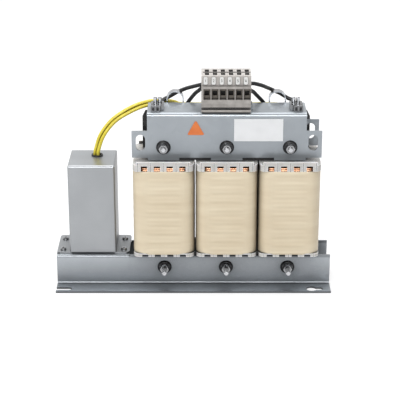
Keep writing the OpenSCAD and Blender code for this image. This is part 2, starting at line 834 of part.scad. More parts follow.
// A six-sided bar along Y, with two flats level
module hex_y(x, y0, y1, z, flats) {
    translate([x, y0, z])
        rotate([-90, 0, 0])
            linear_extrude(y1 - y0)
                polygon([for (k = [0 : 5])
                    flats / sqrt(3) * [cos(60 * k), sin(60 * k)]]);
}

module through_bolt(x, z, back, free_end) {
    front = -web_out - stack_up - nut_height - free_end;
    rod_y(x, front + 0.6, back + stack_up, z, bolt_diameter);
    translate([x, front, z])
        rotate([-90, 0, 0])
            cylinder(h = 0.6, d1 = bolt_diameter - 1.2, d2 = bolt_diameter);
    hex_y(x, back + stack_up, back + stack_up + head_height, z, nut_flats);
}

module upper_bolts() {
    color([0.75, 0.76, 0.78])
    for (i = [-1 : 1])
        through_bolt(core_offset + i * leg_pitch, upper_row, upper_back, upper_bolt_end);
}

module lower_bolts() {
    color([0.75, 0.76, 0.78])
    for (i = [-1 : 1])
        through_bolt(core_offset + i * leg_pitch, lower_row, lower_back, lower_bolt_end);
}

// A cone along Y from diameter d1 at y0 to d2 at y1
module cone_y(x, y0, y1, z, d1, d2) {
    translate([x, y0, z])
        rotate([-90, 0, 0])
            cylinder(h = y1 - y0, d1 = d1, d2 = d2);
}

// A flanged bushing whose sleeve points to +Y
module bushing(x, y, z, sleeve) {
    difference() {
        union() {
            cone_y(x, y, y + bushing_flange, z, bushing_diameter - 2 * bushing_chamfer,
                bushing_diameter);
            rod_y(x, y, y + bushing_flange + sleeve, z, bushing_sleeve);
        }
        rod_y(x, y - cut, y + bushing_flange + sleeve + cut, z, bolt_diameter + bolt_play);
    }
}

module insulating_bushings() {
    color(black)
    for (i = [-1 : 1]) {
        x = core_offset + i * leg_pitch;
        bushing(x, -web_out - bushing_flange, upper_row, sheet - seat);
        bushing(x, -web_out - bushing_flange, lower_row, sheet - seat);
        mirror([0, 1, 0]) {
            bushing(x, -upper_back - bushing_flange, upper_row,
                sheet + board_thickness - seat);
            bushing(x, -lower_back - bushing_flange, lower_row, sheet - seat);
        }
    }
}

// A dished washer whose narrow side points to -Y
module washer(x, y, z) {
    difference() {
        cone_y(x, y, y + washer_thickness, z, washer_diameter - 2 * washer_cone,
            washer_diameter);
        rod_y(x, y - cut, y + washer_thickness + cut, z, bolt_diameter + bolt_play);
    }
}

module bolt_washers() {
    color([0.75, 0.76, 0.78])
    for (i = [-1 : 1]) {
        x = core_offset + i * leg_pitch;
        washer(x, -web_out - stack_up, upper_row);
        washer(x, -web_out - stack_up, lower_row);
        mirror([0, 1, 0]) {
            washer(x, -upper_back - stack_up, upper_row);
            washer(x, -lower_back - stack_up, lower_row);
        }
    }
}

module bolt_nuts() {
    color([0.75, 0.76, 0.78])
    for (i = [-1 : 1])
        for (z = [upper_row, lower_row]) {
            x = core_offset + i * leg_pitch;
            y = -web_out - stack_up - nut_height;
            difference() {
                intersection() {
                    hex_y(x, y, y + nut_height, z, nut_flats);
                    translate([x, y, z])
                        rotate([-90, 0, 0])
                            cylinder(h = nut_height, d1 = nut_flats + 0.4,
                                d2 = nut_flats + 0.4 + 2 * nut_height);
                }
                rod_y(x, y - cut, y + nut_height + cut, z, bolt_diameter + 2 * seat);
            }
        }
}

// The can of the box, shrunk by an inset from its outside, with rounded bends
module can_shape(inset, foot, r) {
    w = box_width - 2 * inset;
    d = box_depth - 2 * inset;
    h = box_height - inset;
    intersection() {
        round_block(w, d, foot, h, r);
        translate([0, d / 2, 0])
            rotate([90, 0, 0])
                linear_extrude(d)
                    union() {
                        translate([-w / 2, foot])
                            square([w, h - r - foot]);
                        translate([-w / 2 + r, foot])
                            square([w - 2 * r, h - foot]);
                        for (s = [-1, 1])
                            translate([s * (w / 2 - r), h - r])
                                circle(r = r);
                    }
        along_x(-w / 2, w / 2)
            union() {
                translate([-d / 2, foot + r])
                    square([d, h - 2 * r - foot]);
                translate([-d / 2 + r, foot])
                    square([d - 2 * r, h - foot]);
                for (s = [-1, 1])
                    translate([s * (d / 2 - r), h - r])
                        circle(r = r);
                translate([-d / 2 + r, foot + r])
                    circle(r = r);
                translate([d / 2 - r, foot])
                    square([r, 2 * r]);
            }
    }
}

module box_ear(s) {
    inner = box_width / 2 - box_sheet;
    a = s > 0 ? 1 : -1;
    linear_extrude(box_sheet)
        difference() {
            polygon([
                [a * inner, 0],
                [a * (ear_x - ear_chamfer), 0],
                [a * ear_x, ear_chamfer],
                [a * ear_x, ear_depth - ear_radius],
                [a * (ear_x - ear_radius * 0.293), ear_depth - ear_radius * 0.293],
                [a * (ear_x - ear_radius), ear_depth],
                [a * inner, ear_depth]
            ]);
            for (y = [ear_screw_front, ear_screw_front + ear_screw_span])
                translate([a * (ear_x - ear_screw_end), y])
                    circle(d = box_screw + 2 * seat);
        }
}

module capacitor_box() {
    color([0.70, 0.71, 0.72])
    translate([box_x, box_y, rail_height]) {
        difference() {
            can_shape(0, 0, box_bend);
            can_shape(box_sheet, box_sheet, box_bend - box_sheet);
            block(-box_width / 2 + box_sheet, box_width / 2 - box_sheet,
                -box_depth / 2 + box_lip, box_depth / 2 - box_sheet, -cut, box_bend);
            translate([grommet_x, grommet_y, box_height - box_sheet - cut])
                cylinder(h = box_sheet + 2 * cut, d = grommet_bore + 1.2 + 2 * seat);
        }
        translate([0, -box_depth / 2, 0]) {
            box_ear(-1);
            box_ear(1);
        }
    }
}

module box_screws() {
    color([0.6, 0.61, 0.63])
    for (x = ear_screw_x)
        for (y = ear_screw_y)
            translate([x, y, rail_height + box_sheet])
                difference() {
                    union() {
                        cylinder(h = 1.1, d = box_screw_head);
                        translate([0, 0, 1.1])
                            cylinder(h = 1.1, d1 = box_screw_head, d2 = box_screw_head - 1.6);
                        translate([0, 0, -box_sheet - sheet - 2])
                            cylinder(h = box_sheet + sheet + 2.5, d = box_screw);
                    }
                    for (a = [0, 90])
                        rotate([0, 0, a])
                            block(-0.45, 0.45, -1.5, 1.5, 0.9, 3);
                }
}

module cable_grommet() {
    color(black)
    translate([box_x + grommet_x, box_y + grommet_y, rail_height + box_height])
        difference() {
            union() {
                cylinder(h = 1.2, d = grommet_diameter);
                translate([0, 0, -box_sheet - 1])
                    cylinder(h = box_sheet + 2, d = grommet_bore + 1.2);
                translate([0, 0, -box_sheet - 1.2])
                    cylinder(h = 1.2, d = grommet_diameter);
            }
            translate([0, 0, -box_sheet - 3])
                cylinder(h = box_sheet + 6, d = grommet_bore);
        }
}

module capacitors() {
    color([0.85, 0.85, 0.82])
    for (p = [[-cap_x, cap_front], [cap_x, cap_front], [0, cap_rear]])
        translate([box_x + p[0], box_y + p[1], rail_height]) {
            cylinder(h = capacitor_height - 1, d = capacitor_diameter);
            translate([0, 0, capacitor_height - 1 - seat])
                cylinder(h = 1 + seat, d = capacitor_diameter - 2);
        }
}

// Terminal rail: a small hat section
module terminal_rail() {
    inner = din_width / 2 - 2.2;
    color([0.72, 0.73, 0.75])
    difference() {
        translate([core_offset, din_y, plate_top])
            along_x(-din_length / 2, din_length / 2)
                difference() {
                    union() {
                        translate([-din_width / 2, din_height - din_sheet])
                            square([din_width, din_sheet]);
                        translate([-inner, 0])
                            square([2 * inner, din_height]);
                    }
                    translate([-inner + din_sheet, din_sheet])
                        square([2 * inner - 2 * din_sheet, din_height]);
                }
        for (s = [-1, 1])
            translate([core_offset + s * din_length / 4, din_y, plate_top - cut])
                cylinder(h = din_sheet + 2 * cut, d = box_screw + 2 * seat);
    }
}

module rail_screws() {
    color([0.6, 0.61, 0.63])
    for (s = [-1, 1])
        translate([core_offset + s * din_length / 4, din_y, plate_top + din_sheet]) {
            cylinder(h = 1.8, d = box_screw_head - 0.4);
            translate([0, 0, -din_sheet - sheet - 1.5])
                cylinder(h = din_sheet + sheet + 2, d = box_screw);
        }
}

// Side outline of one terminal, from front to back and up from the plate
half_terminal = terminal_depth / 2;
shoulder = half_terminal - 2.4;
lip = din_height - din_sheet;
function terminal_half(s) = [
    [s * shoulder, terminal_height],
    [s * shoulder, entry_floor + entry_height + 2.8],
    [s * half_terminal, entry_floor + entry_height + 2.3],
    [s * half_terminal, entry_floor - 4.2],
    [s * (half_terminal - 1.1), din_height + 0.4],
    [s * (half_terminal - 3.5), din_height + 0.4],
    [s * (half_terminal - 3.5), din_height - 2],
    [s * (half_terminal - 0.3), din_height - 2],
    [s * (half_terminal - 0.3), 1.2],
    [s * (din_width / 2 - 1.8), 1.2],
    [s * (din_width / 2 - 1.8), lip - 0.3],
    [s * (din_width / 2 + 0.4), lip - 0.3],
    [s * (din_width / 2 + 0.4), din_height + 0.3]
];

module terminal_outline() {
    front = terminal_half(-1);
    back = terminal_half(1);
    polygon(concat(front, [for (i = [len(back) - 1 : -1 : 0]) back[i]]));
}

clamp_back = half_terminal - entry_depth;
screw_u = clamp_back + clamp_length / 2;

module terminal(i) {
    x0 = terminal_x0 + i * terminal_pitch;
    x1 = x0 + terminal_pitch - terminal_gap;
    mid = (x0 + x1) / 2;
    color([0.74, 0.72, 0.69])
    translate([0, din_y, plate_top])
        difference() {
            along_x(x0, x1)
                terminal_outline();
            for (s = [-1, 1]) {
                mouth = s * half_terminal;
                floor_in = s * (half_terminal - entry_depth);
                block(mid - entry_width / 2, mid + entry_width / 2,
                    min(mouth + s, floor_in), max(mouth + s, floor_in),
                    entry_floor, entry_floor + entry_height);
                translate([mid, s * screw_u, entry_floor + entry_height - 1])
                    cylinder(h = terminal_height, d = screw_well);
                block(mid - screw_well / 2, mid + screw_well / 2,
                    s > 0 ? 2 : -screw_u - 2, s > 0 ? screw_u + 2 : -2,
                    terminal_height - screw_sink, terminal_height + 1);
            }
            block(x0 - 1, x1 + 1, -1.5, 1.5, terminal_height - top_groove,
                terminal_height + 1);
        }
}

module terminal_1() {
    terminal(0);
}

module terminal_2() {
    terminal(1);
}

module terminal_3() {
    terminal(2);
}

module terminal_4() {
    terminal(3);
}

module terminal_5() {
    terminal(4);
}

module terminal_6() {
    terminal(5);
}

module terminal_end_plate() {
    color([0.76, 0.74, 0.71])
    translate([0, din_y, plate_top])
        along_x(terminal_x0 - end_plate - terminal_gap, terminal_x0 - terminal_gap)
            terminal_outline();
}

// Middle of the terminal with index i
function terminal_mid(i) = terminal_x0 + (i + 0.5) * terminal_pitch - terminal_gap / 2;

module wire_clamps() {
    color([0.35, 0.34, 0.32])
    for (i = [0 : 5])
        for (s = [-1, 1]) {
            y0 = din_y + (s > 0 ? clamp_back + seat : -clamp_back - clamp_length);
            y1 = din_y + (s > 0 ? clamp_back + clamp_length : -clamp_back - seat);
            mid = plate_top + entry_floor + entry_height / 2;
            difference() {
                block(terminal_mid(i) - entry_width / 2 + seat,
                    terminal_mid(i) + entry_width / 2 - seat,
                    y0, y1, plate_top + entry_floor + seat,
                    plate_top + entry_floor + entry_height - seat);
                block(terminal_mid(i) - clamp_mouth / 2, terminal_mid(i) + clamp_mouth / 2,
                    y0 - cut, y1 + cut, mid - clamp_mouth / 2, mid + clamp_mouth / 2);
            }
        }
}

module clamp_screws() {
    color([0.6, 0.61, 0.63])
    for (i = [0 : 5])
        for (s = [-1, 1])
            translate([terminal_mid(i), din_y + s * screw_u,
                plate_top + entry_floor + entry_height])
                difference() {
                    cylinder(h = terminal_height - entry_floor - entry_height - screw_sink,
                        d = screw_well - 0.4);
                    translate([0, 0, terminal_height - entry_floor - entry_height - screw_sink])
                        block(-0.4, 0.4, -3, 3, -0.7, 1);
                }
}

module marker_tags() {
    r = tag_width * 0.35;
    z0 = entry_floor + entry_height + 4.1;
    color([0.95, 0.95, 0.93])
    for (i = [0 : 5])
        translate([terminal_mid(i) - 1.35, din_y - shoulder, plate_top + z0])
            rotate([90, 0, 0])
                linear_extrude(0.8)
                    union() {
                        translate([-tag_width / 2 + r, 0])
                            square([tag_width - 2 * r, tag_height]);
                        translate([-tag_width / 2, r])
                            square([tag_width, tag_height - 2 * r]);
                        for (a = [-1, 1])
                            for (b = [r, tag_height - r])
                                translate([a * (tag_width / 2 - r), b])
                                    circle(r = r);
                    }
}

// The right clamp in place, or the left one as its mirror image
module earth_side(s) {
    translate([core_offset, 0, plate_top])
        if (s > 0) children();
        else mirror([1, 0, 0]) children();
}

module earth_clamps() {
    jaw = [earth_out - earth_jaw, earth_out];
    color([0.74, 0.75, 0.77])
    for (s = [-1, 1])
        earth_side(s)
            difference() {
                union() {
                    block(jaw[0], jaw[1], earth_y, earth_y + earth_jaw_depth + 1,
                        0, earth_height);
                    block(earth_out - earth_length, earth_out, earth_y + earth_jaw_depth,
                        earth_y + earth_jaw_depth + earth_depth, 0, earth_height);
                }
                for (k = [0.27, 0.73])
                    block(jaw[0] + k * earth_jaw - 1.2, jaw[0] + k * earth_jaw + 1.2,
                        earth_y - cut, earth_y + earth_jaw_depth, 1.2, earth_height - 1.2);
                block(earth_out - earth_length - cut, earth_out + cut,
                    earth_y + earth_jaw_depth + 2, earth_y + earth_jaw_depth + 3.2,
                    earth_height - 1, earth_height + cut);
                for (k = [-0.5, 0.5])
                    translate([earth_screw_x + k * earth_pitch, earth_screw_y, -cut])
                        cylinder(h = earth_height + 2 * cut, d = earth_screw - 1 + 2 * seat);
            }
}

module earth_screws() {
    color([0.8, 0.81, 0.83])
    for (s = [-1, 1])
        earth_side(s)
            for (k = [-0.5, 0.5])
                translate([earth_screw_x + k * earth_pitch, earth_screw_y, earth_height])
                    difference() {
                        union() {
                            cylinder(h = earth_rise - 0.6, d = earth_screw);
                            translate([0, 0, earth_rise - 0.6])
                                cylinder(h = 0.6, d1 = earth_screw, d2 = earth_screw - 1);
                            translate([0, 0, -earth_height - sheet])
                                cylinder(h = earth_height + sheet + 1, d = earth_screw - 1);
                        }
                        block(-0.4, 0.4, -3, 3, earth_rise - 0.9, earth_rise + 1);
                    }
}

module rating_plate() {
    color([0.93, 0.93, 0.93])
    translate([core_offset + plate_x - plate_width / 2, -web_out - plate_thickness,
        frame_z + plate_rise - plate_height / 2])
        cube([plate_width, plate_thickness, plate_height]);
}

module triangle_patch() {
    color([0.90, 0.47, 0.22])
    translate([core_offset - patch_x, -web_out, frame_z + patch_rise])
        rotate([90, 0, 0])
            linear_extrude(plate_thickness)
                polygon([
                    [-patch_width / 2, 0.9],
                    [-patch_width / 2 + 0.9, 0],
                    [patch_width / 2 - 0.9, 0],
                    [patch_width / 2, 0.9],
                    [0.8, patch_height],
                    [-0.8, patch_height]
                ]);
}

module yellow_lead_1() {
    color([0.9, 0.82, 0.25])
        lead(yellow_route_1, yellow_lead);
}

module yellow_lead_2() {
    color([0.9, 0.82, 0.25])
        lead(yellow_route_2, yellow_lead);
}

module yellow_lead_3() {
    color([0.9, 0.82, 0.25])
        lead(yellow_route_3, yellow_lead);
}

module black_lead_1() {
    color(black)
        lead(black_route_1, black_lead);
}

module black_lead_2() {
    color(black)
        lead(black_route_2, black_lead);
}

module black_lead_3() {
    color(black)
        lead(black_route_3, black_lead);
}

module black_lead_4() {
    color(black)
        lead(black_route_4, black_lead);
}

module black_lead_5() {
    color(black)
        lead(black_route_5, black_lead);
}

module black_lead_6() {
    color(black)
        lead(black_route_6, black_lead);
}

front_rail();
rear_rail();
core_e_pack();
core_yoke_pack();
bobbin_left();
bobbin_middle();
bobbin_right();
winding_left();
winding_middle();
winding_right();
wrap_left();
wrap_middle();
wrap_right();
upper_frame();
insulating_board();
lifting_bow_left();
lifting_bow_right();
upper_bolts();
lower_bolts();
insulating_bushings();
bolt_washers();
bolt_nuts();
capacitor_box();
box_screws();
cable_grommet();
capacitors();
terminal_rail();
rail_screws();
terminal_1();
terminal_2();
terminal_3();
terminal_4();
terminal_5();
terminal_6();
terminal_end_plate();
wire_clamps();
clamp_screws();
marker_tags();
earth_clamps();
earth_screws();
rating_plate();
triangle_patch();
yellow_lead_1();
yellow_lead_2();
yellow_lead_3();
black_lead_1();
black_lead_2();
black_lead_3();
black_lead_4();
black_lead_5();
black_lead_6();
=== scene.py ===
import math
import random

import bmesh
import bpy
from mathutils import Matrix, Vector


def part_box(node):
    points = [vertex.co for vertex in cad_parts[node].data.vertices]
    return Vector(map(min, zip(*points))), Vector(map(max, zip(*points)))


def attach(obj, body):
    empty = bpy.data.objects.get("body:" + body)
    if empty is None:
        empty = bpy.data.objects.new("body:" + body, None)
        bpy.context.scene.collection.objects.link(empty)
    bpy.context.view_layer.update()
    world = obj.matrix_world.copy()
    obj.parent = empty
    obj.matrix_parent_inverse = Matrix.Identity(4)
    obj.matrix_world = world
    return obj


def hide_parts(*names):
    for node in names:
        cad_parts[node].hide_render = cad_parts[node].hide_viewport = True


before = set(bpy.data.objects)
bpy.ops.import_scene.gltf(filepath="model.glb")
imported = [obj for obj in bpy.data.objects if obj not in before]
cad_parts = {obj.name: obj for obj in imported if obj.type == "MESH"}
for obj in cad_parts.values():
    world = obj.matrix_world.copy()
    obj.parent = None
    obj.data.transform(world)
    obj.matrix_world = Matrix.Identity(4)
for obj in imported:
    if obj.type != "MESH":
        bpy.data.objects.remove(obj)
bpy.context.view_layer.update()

# The studio: a white sheet under and behind the filter, with a large soft lamp above and
# behind it, one in front and a weak one at the side. A long strip in front shows only in
# bright metal, and the room behind the camera is left dim.
scene = bpy.context.scene
scene.view_settings.view_transform = "Standard"

eye = bpy.data.objects.new("eye", bpy.data.cameras.new("eye"))
eye.data.lens = 124.785
eye.data.sensor_width = 36.0
eye.data.clip_start = 0.05
eye.data.clip_end = 50.0
eye.location = (0.006777, -1.327276, 0.590142)
eye.rotation_euler = (math.radians(69.183), 0.0, 0.0)
scene.collection.objects.link(eye)
scene.camera = eye

SHEET_SEEN = 1.0
SHEET_HORIZON = 1.0
ROOM_BEHIND_CAMERA = 0.15
SHEET_BOUNCE = (0.40, 0.40, 0.405, 1.0)
SHEET_GLOW = 0.69
SHEET_IN_METAL = 0.84
ROOM_LIGHT = 0.52


def white_sheet_paper():
    """Paper that the camera and metal see as white, and that shadows still darken."""
    m = bpy.data.materials.new("studio_paper")
    m.use_nodes = True
    t = m.node_tree
    t.nodes.clear()
    out = t.nodes.new("ShaderNodeOutputMaterial")
    paper = t.nodes.new("ShaderNodeBsdfDiffuse")
    paper.inputs["Color"].default_value = SHEET_BOUNCE
    glow = t.nodes.new("ShaderNodeEmission")
    glow.inputs["Color"].default_value = (1.0, 1.0, 1.0, 1.0)
    path = t.nodes.new("ShaderNodeLightPath")
    mirrored = t.nodes.new("ShaderNodeMath")
    mirrored.operation = "MULTIPLY"
    mirrored.inputs[1].default_value = SHEET_IN_METAL
    t.links.new(path.outputs["Is Glossy Ray"], mirrored.inputs[0])
    seen = t.nodes.new("ShaderNodeMath")
    seen.operation = "MAXIMUM"
    seen_too = t.nodes.new("ShaderNodeMath")
    seen_too.operation = "MAXIMUM"
    t.links.new(path.outputs["Is Camera Ray"], seen.inputs[0])
    t.links.new(mirrored.outputs[0], seen.inputs[1])
    t.links.new(seen.outputs[0], seen_too.inputs[0])
    t.links.new(path.outputs["Is Transmission Ray"], seen_too.inputs[1])
    strength = t.nodes.new("ShaderNodeMath")
    strength.operation = "MULTIPLY"
    strength.inputs[1].default_value = SHEET_GLOW
    t.links.new(seen_too.outputs[0], strength.inputs[0])
    t.links.new(strength.outputs[0], glow.inputs["Strength"])
    both = t.nodes.new("ShaderNodeAddShader")
    t.links.new(paper.outputs[0], both.inputs[0])
    t.links.new(glow.outputs[0], both.inputs[1])
    t.links.new(both.outputs[0], out.inputs["Surface"])
    return m


def studio_floor():
    bm = bmesh.new()
    corners = [(-6, -5, 0), (6, -5, 0), (6, 6, 0), (-6, 6, 0)]
    bm.faces.new([bm.verts.new(c) for c in corners])
    mesh = bpy.data.meshes.new("studio_floor")
    bm.to_mesh(mesh)
    bm.free()
    o = bpy.data.objects.new("studio_floor", mesh)
    scene.collection.objects.link(o)
    mesh.materials.append(white_sheet_paper())


studio_floor()


def soft_lamp(name, place, aim, size, watts, mirrored=True, matt=True):
    """A lamp that may be left out of mirror images, or of the light on matt surfaces."""
    data = bpy.data.lights.new(name, "AREA")
    data.shape = "RECTANGLE"
    data.size, data.size_y = size
    data.energy = watts
    o = bpy.data.objects.new(name, data)
    o.location = place
    o.rotation_euler = (Vector(aim) - Vector(place)).to_track_quat("-Z", "Y").to_euler()
    o.visible_glossy = mirrored
    o.visible_diffuse = matt
    scene.collection.objects.link(o)


soft_lamp("overhead_lamp", (-0.2, 0.35, 1.5), (0, 0, 0.1), (1.6, 0.9), 17.0)
soft_lamp("front_lamp", (-0.8, -1.8, 1.0), (0, 0, 0.1), (2.0, 1.4), 25.0, False)
soft_lamp("front_strip", (0, -1.7, 1.0), (0, 0, 0.05), (2.2, 0.6), 37.0, matt=False)
soft_lamp("side_lamp", (1.5, -0.5, 0.8), (0, 0, 0.1), (0.8, 0.9), 2.5, False)

world = bpy.data.worlds.new("studio_air")
scene.world = world
world.use_nodes = True
wt = world.node_tree
wt.nodes.clear()
w_out = wt.nodes.new("ShaderNodeOutputWorld")
w_dim = wt.nodes.new("ShaderNodeBackground")
w_dim.inputs["Color"].default_value = (0.985, 0.99, 1.0, 1.0)
w_dim.inputs["Strength"].default_value = ROOM_LIGHT
w_seen = wt.nodes.new("ShaderNodeBackground")
w_seen.inputs["Color"].default_value = (1.0, 1.0, 1.0, 1.0)
w_seen.inputs["Strength"].default_value = SHEET_SEEN
w_metal = wt.nodes.new("ShaderNodeBackground")
w_metal.inputs["Color"].default_value = (1.0, 1.0, 1.0, 1.0)
w_where = wt.nodes.new("ShaderNodeTexCoord")
w_axes = wt.nodes.new("ShaderNodeSeparateXYZ")
w_depth = wt.nodes.new("ShaderNodeMapRange")
w_depth.inputs["From Min"].default_value = -0.5
w_depth.inputs["From Max"].default_value = 0.5
w_depth.inputs["To Min"].default_value = ROOM_BEHIND_CAMERA
w_depth.inputs["To Max"].default_value = SHEET_HORIZON
wt.links.new(w_where.outputs["Generated"], w_axes.inputs[0])
wt.links.new(w_axes.outputs["Y"], w_depth.inputs["Value"])
wt.links.new(w_depth.outputs["Result"], w_metal.inputs["Strength"])
w_path = wt.nodes.new("ShaderNodeLightPath")
w_shiny = wt.nodes.new("ShaderNodeMixShader")
wt.links.new(w_path.outputs["Is Glossy Ray"], w_shiny.inputs[0])
wt.links.new(w_dim.outputs[0], w_shiny.inputs[1])
wt.links.new(w_metal.outputs[0], w_shiny.inputs[2])
w_any = wt.nodes.new("ShaderNodeMath")
w_any.operation = "MAXIMUM"
wt.links.new(w_path.outputs["Is Camera Ray"], w_any.inputs[0])
wt.links.new(w_path.outputs["Is Transmission Ray"], w_any.inputs[1])
w_mix = wt.nodes.new("ShaderNodeMixShader")
wt.links.new(w_any.outputs[0], w_mix.inputs[0])
wt.links.new(w_shiny.outputs[0], w_mix.inputs[1])
wt.links.new(w_seen.outputs[0], w_mix.inputs[2])
wt.links.new(w_mix.outputs[0], w_out.inputs["Surface"])


# The base rails, the upper frame and the small terminal rail are galvanised steel sheet,
# punched and folded. The zinc is satin and a little cloudy. Its colour is painted brighter
# on the rails than on the frame, and painted shade darkens the rails' feet and the bend of
# the shelf.
class Finish:
    """A surface being built up: its shader and the nodes that feed it."""

    def __init__(self, name, colour, rough, metal=0.0):
        self.m = bpy.data.materials.new(name)
        self.m.use_nodes = True
        self.t = self.m.node_tree
        self.skin = self.t.nodes["Principled BSDF"]
        self.skin.inputs["Base Color"].default_value = (*colour, 1.0)
        self.skin.inputs["Roughness"].default_value = rough
        self.skin.inputs["Metallic"].default_value = metal
        self.place = self.t.nodes.new("ShaderNodeTexCoord").outputs["Object"]

    def stretched(self, x, y, z):
        """Object coordinates scaled along each axis."""
        n = self.t.nodes.new("ShaderNodeMapping")
        n.inputs["Scale"].default_value = (x, y, z)
        self.t.links.new(self.place, n.inputs["Vector"])
        return n.outputs["Vector"]

    def cloud(self, size, detail=3.0, place=None):
        """Soft noise whose patches are about as wide as size, in metres."""
        n = self.t.nodes.new("ShaderNodeTexNoise")
        n.inputs["Scale"].default_value = 1.0 / size
        n.inputs["Detail"].default_value = detail
        self.t.links.new(place or self.place, n.inputs["Vector"])
        return n.outputs["Fac"]

    def flakes(self, size):
        """Crystal patches with straight borders, as zinc grows them."""
        n = self.t.nodes.new("ShaderNodeTexVoronoi")
        n.inputs["Scale"].default_value = 1.0 / size
        self.t.links.new(self.place, n.inputs["Vector"])
        grey = self.t.nodes.new("ShaderNodeSeparateColor")
        self.t.links.new(n.outputs["Color"], grey.inputs[0])
        return grey.outputs[0]

    def between(self, fac, a, b, start=0.0, end=1.0):
        """A number that runs from a to b as fac runs from start to end."""
        n = self.t.nodes.new("ShaderNodeMapRange")
        n.inputs["From Min"].default_value = start
        n.inputs["From Max"].default_value = end
        n.inputs["To Min"].default_value = a
        n.inputs["To Max"].default_value = b
        self.t.links.new(fac, n.inputs["Value"])
        return n.outputs["Result"]

    def shades(self, fac, dark, light, low=0.3, high=0.7):
        """Colours the skin from dark to light by fac."""
        n = self.t.nodes.new("ShaderNodeValToRGB")
        n.color_ramp.elements[0].position = low
        n.color_ramp.elements[0].color = (*dark, 1.0)
        n.color_ramp.elements[1].position = high
        n.color_ramp.elements[1].color = (*light, 1.0)
        self.t.links.new(fac, n.inputs["Fac"])
        self.t.links.new(n.outputs["Color"], self.skin.inputs["Base Color"])

    def gloss(self, fac, a, b):
        """Roughness from a to b by fac."""
        self.t.links.new(self.between(fac, a, b), self.skin.inputs["Roughness"])

    def relief(self, fac, depth, strength=1.0):
        """Raises the surface by fac times depth, in metres, for light only."""
        n = self.t.nodes.new("ShaderNodeBump")
        n.inputs["Distance"].default_value = depth
        n.inputs["Strength"].default_value = strength
        self.t.links.new(fac, n.inputs["Height"])
        self.t.links.new(n.outputs["Normal"], self.skin.inputs["Normal"])

    def nearness(self, reach, inside=False):
        """How open the surface is within reach, in metres: 1 is open, 0 is closed in."""
        n = self.t.nodes.new("ShaderNodeAmbientOcclusion")
        n.samples = 8
        n.inside = inside
        n.inputs["Distance"].default_value = reach
        return n.outputs["AO"]

    def paint_shade(self, shade):
        """Paints shade into the skin: multiplies its colour by shade."""
        dim = self.t.nodes.new("ShaderNodeHueSaturation")
        self.t.links.new(shade, dim.inputs["Value"])
        skin = self.skin.inputs["Base Color"]
        self.t.links.new(skin.links[0].from_socket, dim.inputs["Color"])
        self.t.links.new(dim.outputs["Color"], skin)

    def paint_corner_shade(self, reach, deepest, closed=0.0, clear=1.0):
        """Paints shade into corners narrower than reach, in metres, dimming the colour down
        to deepest.
        """
        self.paint_shade(self.between(self.nearness(reach), deepest, 1.0, closed, clear))

    def height(self):
        """How far a point is above the floor, in metres."""
        n = self.t.nodes.new("ShaderNodeSeparateXYZ")
        self.t.links.new(self.place, n.inputs[0])
        return n.outputs["Z"]

    def paint_edge_light(self, reach, pale):
        """Paints light onto thin edges, where a cloudy plastic gathers it: the colour there
        is mixed towards pale.
        """
        blend = self.t.nodes.new("ShaderNodeMix")
        blend.data_type = "RGBA"
        rim = self.between(self.nearness(reach, True), 1.0, 0.0, 0.6, 0.95)
        self.t.links.new(rim, blend.inputs["Factor"])
        skin = self.skin.inputs["Base Color"]
        self.t.links.new(skin.links[0].from_socket, blend.inputs[6])
        blend.inputs[7].default_value = (*pale, 1.0)
        self.t.links.new(blend.outputs[2], skin)

    def mixed(self, a, b, amount, how="ADD"):
        """Two numbers combined, the second weighed by amount."""
        w = self.t.nodes.new("ShaderNodeMath")
        w.operation = "MULTIPLY"
        w.inputs[1].default_value = amount
        self.t.links.new(b, w.inputs[0])
        n = self.t.nodes.new("ShaderNodeMath")
        n.operation = how
        self.t.links.new(a, n.inputs[0])
        self.t.links.new(w.outputs[0], n.inputs[1])
        return n.outputs[0]


SHEET_METAL = 0.002
SHEET_EDGE = 0.00025
SPANGLE = 0.0075
rail_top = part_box("front_rail")[1].z


def galvanised(name, dark, light, metal, reach, deepest, bend_shade=1.0):
    """Zinc on sheet, with painted shade in corners as near as reach and, by the given
    factor, along the bend where the rail folds back into its shelf. A painted light lifts
    the level top of the shelf back to most of its brightness, and the feet get painted
    shade."""
    f = Finish(name, light, 0.36, metal)
    spangle = f.flakes(SPANGLE)
    haze = f.cloud(0.05, 4.0)
    f.shades(f.mixed(haze, spangle, 0.18), dark, light, 0.3, 0.85)
    f.gloss(f.mixed(haze, spangle, 0.35), 0.27, 0.43)
    f.relief(f.cloud(0.0016, 2.0), 0.00002, 0.35)
    # Painted shade in corners as near as reach.
    shade = f.between(f.nearness(reach), deepest, 1.0, 0.38)
    if bend_shade < 1.0:
        # Painted shade along the bend of the shelf, where it would catch a bright line; the
        # level top is painted back up to 0.8 of its light.
        f.paint_shade(f.between(f.height(), 1.0, bend_shade, rail_top - 0.0034, rail_top - 0.0019))
        level = f.between(f.height(), 0.0, 0.8, rail_top - 0.0005, rail_top - 0.0001)
        shade = f.mixed(shade, level, 1.0, "MAXIMUM")
    f.paint_shade(shade)
    # Painted shade on the feet: up to just above the sheet, the colour is dimmed to 0.73.
    f.paint_shade(f.between(f.height(), 0.73, 1.0, SHEET_METAL + 0.00005, SHEET_METAL + 0.0004))
    return f.m


def soft_edges(o, width):
    """Breaks the sharp edges of a CAD piece, as punching and folding leave them."""
    b = o.modifiers.new("edges", "BEVEL")
    b.width = width
    b.segments = 2
    b.limit_method = "ANGLE"
    b.angle_limit = math.radians(35.0)
    b.harden_normals = False


def dress(node, material, edge):
    """Gives a CAD node its finish and its broken edges."""
    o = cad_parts[node]
    o.data.materials.clear()
    o.data.materials.append(material)
    soft_edges(o, edge)


